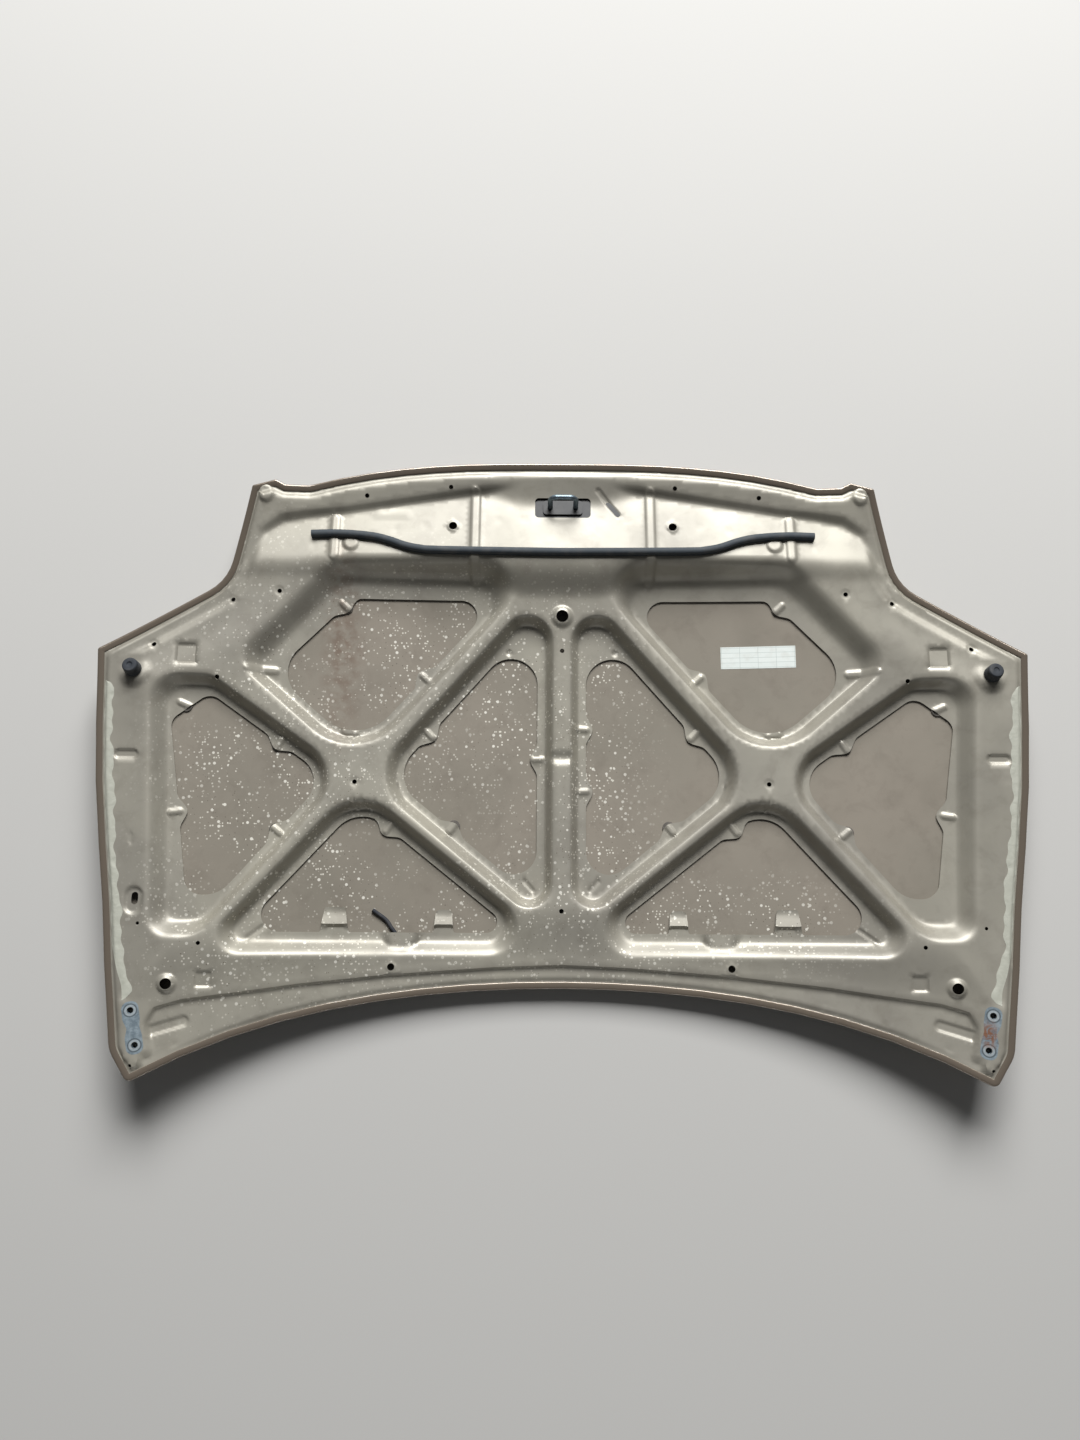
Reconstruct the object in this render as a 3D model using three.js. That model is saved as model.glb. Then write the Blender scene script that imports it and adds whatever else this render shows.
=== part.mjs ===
// Car bonnet, lying on the crown of its outer skin with the underside up.
// Millimetres. X runs across the car, +Y points at the front edge with the latch, +Z is up.
// Plan places are measured from the crown, the lowest point of the skin. The whole
// model is then moved so that the origin is under the middle of its plan box.
import * as THREE from 'three';

// Plan of the bonnet
const HALF_WIDTH = 708;
const FRONT_REACH = 442;
const REAR_REACH = 372;
const TIP_REACH = 502;
const TIP_INSET = 91;
const TIP_HALF_SPAN = HALF_WIDTH - TIP_INSET;
const SIDE_CORNER_Y = 132;
const FRONT_CORNER_X = 488;
const FRONT_CORNER_SETBACK = 44;
const FRONT_CORNER_Y = FRONT_REACH - FRONT_CORNER_SETBACK;
const FRONT_FALL = 40.5;
const FRONT_FALL_X = 400;
const NOTCH_ROUND = 80;
const TIP_ROUND = 10;
const SHARP_ROUND = 5;
const EAR_HEIGHT = 7;
const EAR_TIP_X = 452;
const EAR_FOOT_X = 437;

// Curvature of the outer skin
const LATERAL_RADIUS = 5200;
const SIDE_ROLL = 16;
const FRONT_RADIUS = 2900;
const FRONT_ROLL = 18.6;
const REAR_RADIUS = 4300;

// Sheet thicknesses and clearances
const SKIN_WALL = 0.8;
const PANEL_WALL = 0.7;
const SEAT_GAP = 0.3;
const HEM_GAP = 0.5;

// Turned-up rim of the skin and the hem folded over the inner panel
const RIM_ROUND = 5;
const RIM_HEIGHT_ENDS = 8;
const RIM_HEIGHT_SIDES = 11;
const HEM_WIDTH = 9.5;
const PANEL_EDGE_INSET = 2.4;

// Levels of the inner panel above the middle of the skin sheet
const FLANGE_RISE = 3.2;
const LAND_RISE = 25;
const SIDE_LAND_RISE = 13.5;
const SIDE_LAND_WIDTH = 105;
const REAR_LEDGE_RISE = 9;
const REAR_STEP_WIDTH = 7;
const REAR_LAND_RISE = 15.5;
const REAR_LAND_WIDTH = 85;
const NOTCH_LEDGE_RISE = 16;
const NOTCH_LEDGE_WIDTH = 30;
const NOTCH_STEP = 4.5;
const NOTCH_STEP_WIDTH = 12;
const NOTCH_LAND_WIDTH = 58;

// Latch shelf along the front, and the raised strip ahead of it
const SHELF_REAR_Y = FRONT_REACH - 152;
const SHELF_FLANK = 38;
const SHELF_Z = 60;
const SHELF_SLOPE = Math.tan(THREE.MathUtils.degToRad(7.5));
const SHELF_LEAST_RISE = 5;
const SHELF_MIDDLE_RISE = 13;
const STRIP_RISE = 14;
const STRIP_FLANK = 14;
const STRIP_START_X = 50;
const STRIP_START_FADE = 80;

// Fasteners and fittings
const SMALL_HOLE = 7;
const RING_HOLE = 13;
const CENTRE_HOLE = 19;
const CENTRE_HOLE_Y = FRONT_REACH - 244;
const BOSS_HOLE = 16;
const BOSS_RISE = 5;
const BOSS_FLANK = 9;
const REAR_BOSS_X = HALF_WIDTH - 135;
const REAR_BOSS_Y = -365;
const PROP_SLOT_X = 80 - HALF_WIDTH;
const PROP_SLOT_Y = -243;
const PROP_SLOT_WIDTH = 10;
const PROP_SLOT_LENGTH = 18;

const HINGE_X = TIP_HALF_SPAN - 3;
const HINGE_Y = 76 - TIP_REACH;
const HINGE_PITCH = 49;
const HINGE_LEAN = THREE.MathUtils.degToRad(12);
const HINGE_HOLE = 9;
const HINGE_PAD_WIDTH = 26;
const HINGE_PAD_LENGTH = 76;
const HINGE_PLATE_WIDTH = 20;
const HINGE_PLATE_LENGTH = 68;
const HINGE_PLATE_WALL = 2;
const HINGE_NUT_ACROSS_FLATS = 13;
const HINGE_NUT_HEIGHT = 6.5;
const HINGE_THREAD = 8;

const STOP_X = HALF_WIDTH - 56;
const STOP_Y = SIDE_CORNER_Y - 32;
const STOP_DIAMETER = 25;
const STOP_HEIGHT = 19;
const STOP_STEM = 10;
const STOP_STEM_LENGTH = 9;
const STOP_LEAN = THREE.MathUtils.degToRad(10);
const STOP_SEAT_RISE = 2;
const STOP_SEAT_MARGIN = 4.5;

const WINDOW_WIDTH = 88;
const WINDOW_LENGTH = 33;
const WINDOW_Y = FRONT_REACH - 71;
const WINDOW_ROUND = 6;
const LATCH_PLATE_WIDTH = 200;
const LATCH_PLATE_LENGTH = 58;
const LATCH_PLATE_SHIFT = 2;
const LATCH_PLATE_WALL = 1.8;
const STRIKER_BASE_WIDTH = 62;
const STRIKER_BASE_LENGTH = 24;
const STRIKER_BASE_WALL = 3;
const STRIKER_WIRE = 8;
const STRIKER_SPAN = 40;
const STRIKER_HEIGHT = 37;
const STRIKER_BEND = 11;
const HOLE_CLEARANCE = 0.4;

const SEAL_WIDTH = 11.5;
const SEAL_HEIGHT = 10;

const MASTIC_DIAMETER = 22;

const LABEL_WIDTH = 117;
const LABEL_LENGTH = 35;
const LABEL_WALL = 0.2;
const LABEL_X = 310;
const LABEL_Y = 139;
const LABEL_TURN = THREE.MathUtils.degToRad(1);

const HOSE_DIAMETER = 6;

// Mesh steps
const OUTLINE_STEP = 40;
const LOOP_STEP = 30;
const ARC_STEP = THREE.MathUtils.degToRad(22);
const SKIN_GRID = 64;
const PANEL_GRID = 35;
const LEAST_ROUND = 1.5;
const STEP_GRID = 16;
const LEAST_HALF_FLANK = 11;

function smooth(value) {
  return THREE.MathUtils.smoothstep(value, 0, 1);
}

function softMax(a, b, width) {
  const blend = Math.max(width - Math.abs(a - b), 0) / width;
  return Math.max(a, b) + blend * blend * width / 4;
}

// Height of the middle of the skin sheet
function skinHeight(x, y) {
  const across = x * x / (2 * LATERAL_RADIUS) + SIDE_ROLL * (Math.abs(x) / HALF_WIDTH) ** 6;
  if (y < 0) {
    return across + y * y / (2 * REAR_RADIUS);
  }
  return across + y * y / (2 * FRONT_RADIUS) + FRONT_ROLL * (y / FRONT_REACH) ** 4;
}

function corner(x, y, round = 0) {
  return { x, y, round };
}

// The rear edge bows in between the two rear tips
function rearEdgeY(x) {
  const share = x / TIP_HALF_SPAN;
  return -REAR_REACH - (TIP_REACH - REAR_REACH) * (0.7 * share ** 2 + 0.3 * share ** 4);
}

// The front edge falls back towards its ears
function frontEdgeY(x) {
  return FRONT_REACH - FRONT_FALL * (x / FRONT_FALL_X) ** 2.8;
}

function range(count, make) {
  return Array.from({ length: count }, (_, index) => make(index));
}

// Right half of the outline, from the middle of the rear edge round to the middle of the front
const REAR_EDGE_STEPS = 9;
const FRONT_EDGE_STEPS = 8;
const rearEdge = range(REAR_EDGE_STEPS, (i) => {
  const x = TIP_HALF_SPAN * i / REAR_EDGE_STEPS;
  return corner(x, rearEdgeY(x));
});
const tipCorner = corner(TIP_HALF_SPAN, -TIP_REACH, TIP_ROUND);
const sideEdge = [
  corner(TIP_HALF_SPAN + 28, -TIP_REACH + 45, 50),
  corner(HALF_WIDTH - 45, -TIP_REACH + 162),
  corner(HALF_WIDTH - 34, SIDE_CORNER_Y - 382),
  corner(HALF_WIDTH - 21, SIDE_CORNER_Y - 292),
  corner(HALF_WIDTH - 10, SIDE_CORNER_Y - 202),
  corner(HALF_WIDTH - 4, SIDE_CORNER_Y - 112),
];
const sideCorner = corner(HALF_WIDTH, SIDE_CORNER_Y, SHARP_ROUND);
const notchCorner = corner(FRONT_CORNER_X + 37, FRONT_CORNER_Y - 149, NOTCH_ROUND);
const frontCorner = corner(FRONT_CORNER_X, FRONT_CORNER_Y, SHARP_ROUND);
const earTip = corner(EAR_TIP_X, FRONT_REACH - FRONT_FALL + EAR_HEIGHT, SHARP_ROUND);
const earFoot = corner(EAR_FOOT_X, FRONT_REACH - FRONT_FALL);
const frontEdge = range(FRONT_EDGE_STEPS + 1, (i) => {
  const x = FRONT_FALL_X * (FRONT_EDGE_STEPS - i) / FRONT_EDGE_STEPS;
  return corner(x, frontEdgeY(x));
});
const rightOutline = [
  ...rearEdge, tipCorner, ...sideEdge, sideCorner, notchCorner, frontCorner, earTip, earFoot, ...frontEdge,
];
const leftOutline = rightOutline
  .filter((c) => c.x > 0)
  .map((c) => corner(-c.x, c.y, c.round))
  .reverse();
const outline = [...rightOutline, ...leftOutline];

// A closed corner list, counter-clockwise, moved in by an inset, with its corners rounded.
// The number of points doesn't depend on the inset, so that two loops can be joined by a strip.
function roundedLoop(corners, inset = 0, step = LOOP_STEP) {
  const count = corners.length;
  const place = corners.map((c) => new THREE.Vector2(c.x, c.y));
  const at = (list, index) => list[(index + count) % count];
  const along = place.map((p, i) => at(place, i + 1).clone().sub(p).normalize());
  const inward = along.map((d) => new THREE.Vector2(-d.y, d.x));
  const moved = place.map((p, i) => {
    const before = at(inward, i - 1);
    const after = inward[i];
    const reach = inset / (1 + before.dot(after));
    return p.clone().addScaledVector(before, reach).addScaledVector(after, reach);
  });
  const rounds = corners.map((c, i) => {
    const turn = Math.atan2(at(along, i - 1).cross(along[i]), at(along, i - 1).dot(along[i]));
    if (c.round === 0) {
      return { turn, cut: 0, arc: [moved[i].clone()] };
    }
    const wanted = turn > 0 ? Math.max(c.round - inset, LEAST_ROUND) : c.round + inset;
    const room = 0.49 * Math.min(moved[i].distanceTo(at(moved, i - 1)), moved[i].distanceTo(at(moved, i + 1)));
    const cut = Math.min(wanted * Math.tan(Math.abs(turn) / 2), room);
    const radius = cut / Math.tan(Math.abs(turn) / 2);
    const side = Math.sign(turn);
    const start = moved[i].clone().addScaledVector(at(along, i - 1), -cut);
    const centre = start.clone().addScaledVector(at(inward, i - 1), side * radius);
    const steps = Math.max(2, Math.ceil(Math.abs(turn) / ARC_STEP));
    const arc = range(steps + 1, (k) => start.clone().rotateAround(centre, turn * k / steps));
    return { turn, cut, arc };
  });
  const loop = [];
  rounds.forEach((round, i) => {
    const next = at(rounds, i + 1);
    const pieces = Math.max(1, Math.round(place[i].distanceTo(at(place, i + 1)) / step));
    const from = round.arc[round.arc.length - 1];
    const to = next.arc[0];
    loop.push(...round.arc);
    for (let k = 1; k < pieces; k += 1) {
      loop.push(from.clone().lerp(to, k / pieces));
    }
  });
  return loop;
}

// Moves edge i of a corner list out by offsets[i] and adds to the rounds
function widened(corners, offsets, moreRound) {
  const count = corners.length;
  const direction = corners.map((c, i) => {
    const next = corners[(i + 1) % count];
    return new THREE.Vector2(next.x - c.x, next.y - c.y).normalize();
  });
  return corners.map((c, i) => {
    const before = direction[(i + count - 1) % count];
    const after = direction[i];
    const outBefore = offsets[(i + count - 1) % count];
    const outAfter = offsets[i];
    const bend = before.cross(after);
    const x = c.x + (before.x * outAfter - after.x * outBefore) / bend;
    const y = c.y + (before.y * outAfter - after.y * outBefore) / bend;
    return corner(x, y, c.round + moreRound);
  });
}

function distanceToPath(path, x, y, closed) {
  let least = Infinity;
  const last = closed ? path.length : path.length - 1;
  for (let i = 0; i < last; i += 1) {
    const a = path[i];
    const b = path[(i + 1) % path.length];
    const dx = b.x - a.x;
    const dy = b.y - a.y;
    const share = THREE.MathUtils.clamp(((x - a.x) * dx + (y - a.y) * dy) / (dx * dx + dy * dy), 0, 1);
    least = Math.min(least, Math.hypot(x - a.x - share * dx, y - a.y - share * dy));
  }
  return least;
}

function isInside(loop, x, y) {
  let inside = false;
  for (let i = 0, j = loop.length - 1; i < loop.length; j = i, i += 1) {
    const a = loop[i];
    const b = loop[j];
    if ((a.y > y) !== (b.y > y) && x < (b.x - a.x) * (y - a.y) / (b.y - a.y) + a.x) {
      inside = !inside;
    }
  }
  return inside;
}

// Tongues that reach from the rear rib into the rear cut-outs and come down on the skin
const REAR_RIB_Y = -291;
const TONGUES = [
  { x: 177.5, halfBase: 15, halfTip: 12, tipY: -257, round: 7 },
  { x: 341, halfBase: 21, halfTip: 15.5, tipY: -254, round: 3 },
];
const TONGUE_BASE_Y = -282;
const TONGUE_STEP = 5;
const tongueCorners = TONGUES.flatMap((t) => [
  corner(t.x - t.halfBase, REAR_RIB_Y, 3), corner(t.x - t.halfTip, t.tipY, t.round),
  corner(t.x + t.halfTip, t.tipY, t.round), corner(t.x + t.halfBase, REAR_RIB_Y, 3),
]);

// A place where the edge of a cut-out bulges over a mastic pad, and how far it bulges
function lobe(x, y, reach) {
  return { x, y, reach };
}

// Pockets of one half between the ribs: the cut-out in each, the foot of its flanks and their
// widths, edge by edge. Corners run counter-clockwise.
const POCKETS = {
  front: {
    opening: [
      corner(317, -10, 70), corner(453, 106, 50),
      corner(332, FRONT_REACH - 214, 40), corner(104, FRONT_REACH - 214, 25),
    ],
    foot: [
      corner(317, -22, 78), corner(475, 114, 22),
      corner(348, FRONT_REACH - 192, 50), corner(75, FRONT_REACH - 192, 30),
    ],
    flanks: [18, 36, SHELF_FLANK, 18],
    crestRound: 18,
    lobes: [lobe(342, FRONT_REACH - 228, 12), lobe(216, 103, 13)],
  },
  side: {
    opening: [
      corner(HALF_WIDTH - 194, -237, 45), corner(HALF_WIDTH - 146, -237, 28),
      corner(HALF_WIDTH - 107, 28, 22), corner(HALF_WIDTH - 163, 72, 22), corner(363, -56, 42),
    ],
    foot: [
      corner(HALF_WIDTH - 175, -272, 35), corner(HALF_WIDTH - 124, -272, 16),
      corner(HALF_WIDTH - 102, 80, 42), corner(HALF_WIDTH - 167, 80, 25), corner(350, -54, 50),
    ],
    flanks: [29, 27, 20, 18, 18],
    crestRound: 16,
    lobes: [
      lobe(436, -138, 12), lobe(HALF_WIDTH - 125, -113, 13),
      lobe(HALF_WIDTH - 128, 52, 0), lobe(439, -7, 12),
    ],
  },
  rear: {
    opening: [
      corner(66, REAR_RIB_Y, 27), ...tongueCorners, corner(HALF_WIDTH - 225, REAR_RIB_Y, 30),
      corner(311.5, -98, 50),
    ],
    foot: [
      corner(40, REAR_RIB_Y - 10, 26), corner(HALF_WIDTH - 204, REAR_RIB_Y - 10, 15),
      corner(312.6, -85.5, 58),
    ],
    flanks: [26, 17, 17],
    crestRound: 18,
    lobes: [lobe(267, -135, 13)],
  },
  centre: {
    opening: [corner(38, -241, 35), corner(267, -56, 50), corner(38, FRONT_REACH - 237, 42)],
    foot: [corner(27, -262, 21), corner(280, -57, 58), corner(27, FRONT_REACH - 211, 27)],
    flanks: [17, 17, 15],
    crestRound: 16,
    lobes: [lobe(206, 12, 12), lobe(166, -131, 12)],
  },
};
const SPINE_LOBES = {
  right: [lobe(34, 23, 11), lobe(34, -75, 11)],
  left: [lobe(39, -25, 11)],
};
const LOBE_HALF_LENGTH = 27;

const labelPlaces = [-0.5, 0, 0.5].flatMap((along) => [
  corner(LABEL_X + along * LABEL_WIDTH, LABEL_Y - LABEL_LENGTH / 2),
  corner(LABEL_X + along * LABEL_WIDTH, LABEL_Y + LABEL_LENGTH / 2),
]);

function padsOf(side) {
  return [...Object.values(POCKETS).flatMap((pocket) => pocket.lobes), ...SPINE_LOBES[side]];
}

const BAY_X = 240;
const BAY_Y = REAR_RIB_Y;
const BAY_RISE = 10;
const BAY_FLOOR_RADIUS = 20;
const BAY_FLANK = 10;
const SPINE_HALF = 12;
const SPINE_DIP_Y = -24;
const SPINE_DIP_HALF = 16;
const SPINE_DIP = 8;

for (const pocket of Object.values(POCKETS)) {
  pocket.footLoop = roundedLoop(pocket.foot);
  pocket.crest = widened(pocket.foot, pocket.flanks, pocket.crestRound);
  pocket.crestLoop = roundedLoop(pocket.crest);
}

// 0 on the floor of a pocket, 1 on the land round it
function pocketShare(pocket, x, y) {
  if (isInside(pocket.footLoop, x, y)) {
    return 0;
  }
  if (!isInside(pocket.crestLoop, x, y)) {
    return 1;
  }
  const fromFoot = distanceToPath(pocket.footLoop, x, y, true);
  const toCrest = distanceToPath(pocket.crestLoop, x, y, true);
  return smooth(fromFoot / (fromFoot + toCrest));
}

function rimHeight(x) {
  const share = smooth((Math.abs(x) - 440) / 190);
  return RIM_HEIGHT_ENDS + (RIM_HEIGHT_SIDES - RIM_HEIGHT_ENDS) * share;
}

function hemLevel(x) {
  return rimHeight(x) - SKIN_WALL / 2 - HEM_GAP - PANEL_WALL / 2;
}

const rearPath = [...rearEdge, tipCorner];
const sidePath = [tipCorner, ...sideEdge, sideCorner];
const notchPath = roundedLoop([sideCorner, notchCorner, frontCorner, corner(HALF_WIDTH, FRONT_CORNER_Y)])
  .filter((p) => p.x - p.y < HALF_WIDTH - SIDE_CORNER_Y + 1);
const frontPath = [frontCorner, earTip, earFoot, ...frontEdge];
const PANEL_FOLD_INSET = HEM_WIDTH + 2;
const EDGE_BLEND = 6;
const FRONT_EDGE_BLEND = 12;

// Line of the step between the ledge along the rear edge and the land
const rearStep = [
  corner(0, -342), corner(100, -346), corner(255, -357), corner(390, -371), corner(470, -382),
  corner(TIP_HALF_SPAN - 67, 110 - TIP_REACH), corner(TIP_HALF_SPAN - 32, 100 - TIP_REACH),
  corner(TIP_HALF_SPAN - 20, 77 - TIP_REACH), corner(TIP_HALF_SPAN - 20, -TIP_REACH - 10),
];
const rearLedge = [...rearStep, corner(0, -TIP_REACH - 10)];

// Line between the latch shelf and the raised strip ahead of it
function fromFrontEdge(x, fromFront) {
  return corner(x, FRONT_REACH - fromFront);
}
const stripLine = [
  fromFrontEdge(0, 30), fromFrontEdge(76, 34), fromFrontEdge(150, 46), fromFrontEdge(254, 63.5),
  fromFrontEdge(340, 78), fromFrontEdge(400, 85), fromFrontEdge(440, 92), fromFrontEdge(470, 114),
  fromFrontEdge(488, 167), fromFrontEdge(497, 192),
];
const behindStrip = [...stripLine, corner(540, 120), corner(540, -TIP_REACH), corner(0, -TIP_REACH)];

// Height of the plane of the latch shelf
function shelfHeight(y) {
  return SHELF_Z + SHELF_SLOPE * (SHELF_REAR_Y - y);
}

// Rise of the land over the skin, without pockets and seats
function landRise(x, y) {
  const ax = Math.abs(x);
  const rear = distanceToPath(rearPath, ax, y, false);
  const side = distanceToPath(sidePath, ax, y, false);
  const notch = distanceToPath(notchPath, ax, y, false);
  const front = distanceToPath(frontPath, ax, y, false);
  const fromStep = distanceToPath(rearStep, ax, y, false) * (isInside(rearLedge, ax, y) ? -1 : 1);
  const bySide = SIDE_LAND_RISE + (LAND_RISE - SIDE_LAND_RISE) * smooth(side / SIDE_LAND_WIDTH);
  const byRear = REAR_LEDGE_RISE + (REAR_LAND_RISE - REAR_LEDGE_RISE) * smooth(fromStep / REAR_STEP_WIDTH)
    + (LAND_RISE - REAR_LAND_RISE) * smooth((fromStep - REAR_STEP_WIDTH) / REAR_LAND_WIDTH);
  const fromLedge = notch - NOTCH_LEDGE_WIDTH;
  const byNotch = NOTCH_LEDGE_RISE + NOTCH_STEP * smooth(fromLedge / NOTCH_STEP_WIDTH)
    + (LAND_RISE - NOTCH_LEDGE_RISE - NOTCH_STEP) * smooth((fromLedge - NOTCH_STEP_WIDTH) / NOTCH_LAND_WIDTH);
  let land = Math.min(bySide, byRear, byNotch);

  const middleShare = 1 - smooth((ax - STRIP_START_X) / STRIP_START_FADE);
  const leastRise = SHELF_LEAST_RISE + (SHELF_MIDDLE_RISE - SHELF_LEAST_RISE) * middleShare;
  const shelf = softMax(shelfHeight(y) - skinHeight(x, y), leastRise, 4);
  land += (shelf - land) * smooth((y - SHELF_REAR_Y + SHELF_FLANK) / SHELF_FLANK);

  const fromStrip = distanceToPath(stripLine, ax, y, false) * (isInside(behindStrip, ax, y) ? -1 : 1);
  const stripShare = smooth(fromStrip / STRIP_FLANK + 0.5) * (1 - middleShare)
    * smooth((y - SHELF_REAR_Y + 55) / 50);
  land += (STRIP_RISE - land) * stripShare;

  const nearest = Math.min(rear, side, notch, front);
  const blend = front < notch && front < side ? FRONT_EDGE_BLEND : EDGE_BLEND;
  return hemLevel(x) + (land - hemLevel(x)) * smooth((nearest - PANEL_FOLD_INSET) / blend);
}

function raised(x, y, centreX, centreY, radius, flank, rise) {
  return rise * (1 - smooth((Math.hypot(x - centreX, y - centreY) - radius) / flank));
}

// Rise of a tongue, which steps up from the flange and slopes down to the skin
function tongueRise(x, y) {
  const tongue = TONGUES.find((t) => Math.abs(Math.abs(x) - t.x) < t.halfBase + 2);
  if (!tongue || y < TONGUE_BASE_Y - 3 || y > tongue.tipY + 2) {
    return 0;
  }
  const share = (y - TONGUE_BASE_Y) / (tongue.tipY - TONGUE_BASE_Y);
  return TONGUE_STEP * smooth((y - TONGUE_BASE_Y + 2) / 3) * (1 - THREE.MathUtils.clamp(share, 0, 1));
}

// Rise of the pressed inner panel over the skin, without its flat seats
function pressedRise(x, y) {
  const ax = Math.abs(x);
  let share = 1;
  for (const pocket of Object.values(POCKETS)) {
    share *= pocketShare(pocket, ax, y);
  }
  const dip = (1 - smooth(Math.abs(y - SPINE_DIP_Y) / SPINE_DIP_HALF)) * (1 - smooth(ax / SPINE_HALF - 1));
  const land = landRise(x, y) - SPINE_DIP * dip;
  const rise = FLANGE_RISE + (land - FLANGE_RISE) * share;
  const bay = 1 - smooth((Math.hypot(ax - BAY_X, y - BAY_Y) - BAY_FLOOR_RADIUS) / BAY_FLANK);
  return rise + (BAY_RISE - rise) * bay
    + raised(ax, y, 0, CENTRE_HOLE_Y, CENTRE_HOLE / 2, BOSS_FLANK, BOSS_RISE)
    + raised(ax, y, REAR_BOSS_X, REAR_BOSS_Y, BOSS_HOLE / 2, BOSS_FLANK, BOSS_RISE)
    + tongueRise(x, y);
}

function pressedZ(x, y) {
  return skinHeight(x, y) + pressedRise(x, y);
}

// Flat seats pressed into the panel: a plane through a point, with its normal, inside an outline
const SEAT_FLANK = 8;
function seatNormal(x, y) {
  const reach = 12;
  const slopeX = (pressedZ(x + reach, y) - pressedZ(x - reach, y)) / (2 * reach);
  const slopeY = (pressedZ(x, y + 2 * reach) - pressedZ(x, y - 2 * reach)) / (4 * reach);
  return new THREE.Vector3(-slopeX, -slopeY, 1).normalize();
}
const hingeSeat = {
  point: new THREE.Vector3(HINGE_X, HINGE_Y, pressedZ(HINGE_X, HINGE_Y)),
  normal: seatNormal(HINGE_X, HINGE_Y),
  outside(x, y) {
    const dx = x - HINGE_X;
    const dy = y - HINGE_Y;
    const across = Math.abs(dx * Math.cos(HINGE_LEAN) - dy * Math.sin(HINGE_LEAN));
    const along = Math.abs(dx * Math.sin(HINGE_LEAN) + dy * Math.cos(HINGE_LEAN));
    return Math.hypot(
      Math.max(across - HINGE_PAD_WIDTH / 2, 0),
      Math.max(along - HINGE_PAD_LENGTH / 2, 0),
    );
  },
};
const stopSeat = {
  point: new THREE.Vector3(STOP_X, STOP_Y, pressedZ(STOP_X, STOP_Y) + STOP_SEAT_RISE),
  normal: new THREE.Vector3(0, Math.sin(STOP_LEAN), Math.cos(STOP_LEAN)),
  outside(x, y) {
    return Math.max(Math.hypot(x - STOP_X, y - STOP_Y) - STOP_DIAMETER / 2 - STOP_SEAT_MARGIN, 0);
  },
};
const seats = [hingeSeat, stopSeat];

function seatZ(seat, x, y) {
  const { point, normal } = seat;
  return point.z - (normal.x * (x - point.x) + normal.y * (y - point.y)) / normal.z;
}

// Height of the middle of the inner panel's sheet
function panelZ(x, y) {
  const ax = Math.abs(x);
  let z = pressedZ(x, y);
  for (const seat of seats) {
    const share = 1 - smooth(seat.outside(ax, y) / SEAT_FLANK);
    if (share > 0) {
      z += (seatZ(seat, ax, y) - z) * share;
    }
  }
  return z;
}

// Triangles of a point set (Delaunay), by adding one point at a time
function triangulate(points) {
  const far = 20000;
  const all = [...points, { x: -far, y: -far }, { x: far, y: -far }, { x: 0, y: far }];
  const base = points.length;
  const withCircle = (a, b, c) => {
    const p = all[a];
    const q = all[b];
    const r = all[c];
    const bx = q.x - p.x;
    const by = q.y - p.y;
    const cx = r.x - p.x;
    const cy = r.y - p.y;
    const cross = 2 * (bx * cy - by * cx);
    const x = (cy * (bx * bx + by * by) - by * (cx * cx + cy * cy)) / cross;
    const y = (bx * (cx * cx + cy * cy) - cx * (bx * bx + by * by)) / cross;
    return { a, b, c, x: p.x + x, y: p.y + y, squared: x * x + y * y };
  };
  let triangles = [withCircle(base, base + 1, base + 2)];
  points.forEach((point, index) => {
    const rim = new Map();
    const kept = [];
    for (const t of triangles) {
      if ((point.x - t.x) ** 2 + (point.y - t.y) ** 2 >= t.squared * (1 - 1e-12)) {
        kept.push(t);
      } else {
        for (const [a, b] of [[t.a, t.b], [t.b, t.c], [t.c, t.a]]) {
          const back = `${b},${a}`;
          if (rim.has(back)) {
            rim.delete(back);
          } else {
            rim.set(`${a},${b}`, [a, b]);
          }
        }
      }
    }
    for (const [a, b] of rim.values()) {
      kept.push(withCircle(a, b, index));
    }
    triangles = kept;
  });
  return triangles.filter((t) => Math.max(t.a, t.b, t.c) < base);
}

// A flat mesh of the area inside `border` and outside `cutouts`, with extra points where wanted
function meshArea(border, cutouts, extra) {
  const loops = [border, ...cutouts].map((loop) => loop.map((p) => ({ x: p.x, y: p.y })));
  const inArea = (x, y) => isInside(border, x, y) && !cutouts.some((loop) => isInside(loop, x, y));
  const inner = [];
  for (const { x, y, gap } of extra) {
    const clear = loops.every((loop) => distanceToPath(loop, x, y, true) > gap * 0.62);
    if (clear && inArea(x, y) && !inner.some((p) => Math.hypot(p.x - x, p.y - y) < gap)) {
      inner.push({ x, y });
    }
  }
  for (let round = 0; round < 6; round += 1) {
    const points = [...loops.flat(), ...inner];
    const triangles = triangulate(points).filter((t) => {
      const x = (points[t.a].x + points[t.b].x + points[t.c].x) / 3;
      const y = (points[t.a].y + points[t.b].y + points[t.c].y) / 3;
      return inArea(x, y);
    });
    const edges = new Set(triangles.flatMap((t) => [`${t.a},${t.b}`, `${t.b},${t.c}`, `${t.c},${t.a}`]));
    let start = 0;
    let missing = 0;
    for (const loop of loops) {
      const size = loop.length;
      for (let i = size - 1; i >= 0; i -= 1) {
        const a = start + i;
        const b = start + (i + 1) % size;
        if (!edges.has(`${a},${b}`) && !edges.has(`${b},${a}`)) {
          const next = loop[(i + 1) % size];
          const middle = { x: (loop[i].x + next.x) / 2, y: (loop[i].y + next.y) / 2 };
          loop.splice(i + 1, 0, middle);
          missing += 1;
        }
      }
      start += size;
    }
    if (missing === 0) {
      return { points, triangles: triangles.map((t) => [t.a, t.b, t.c]) };
    }
  }
  throw new Error('an edge of the outline could not be kept');
}

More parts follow.
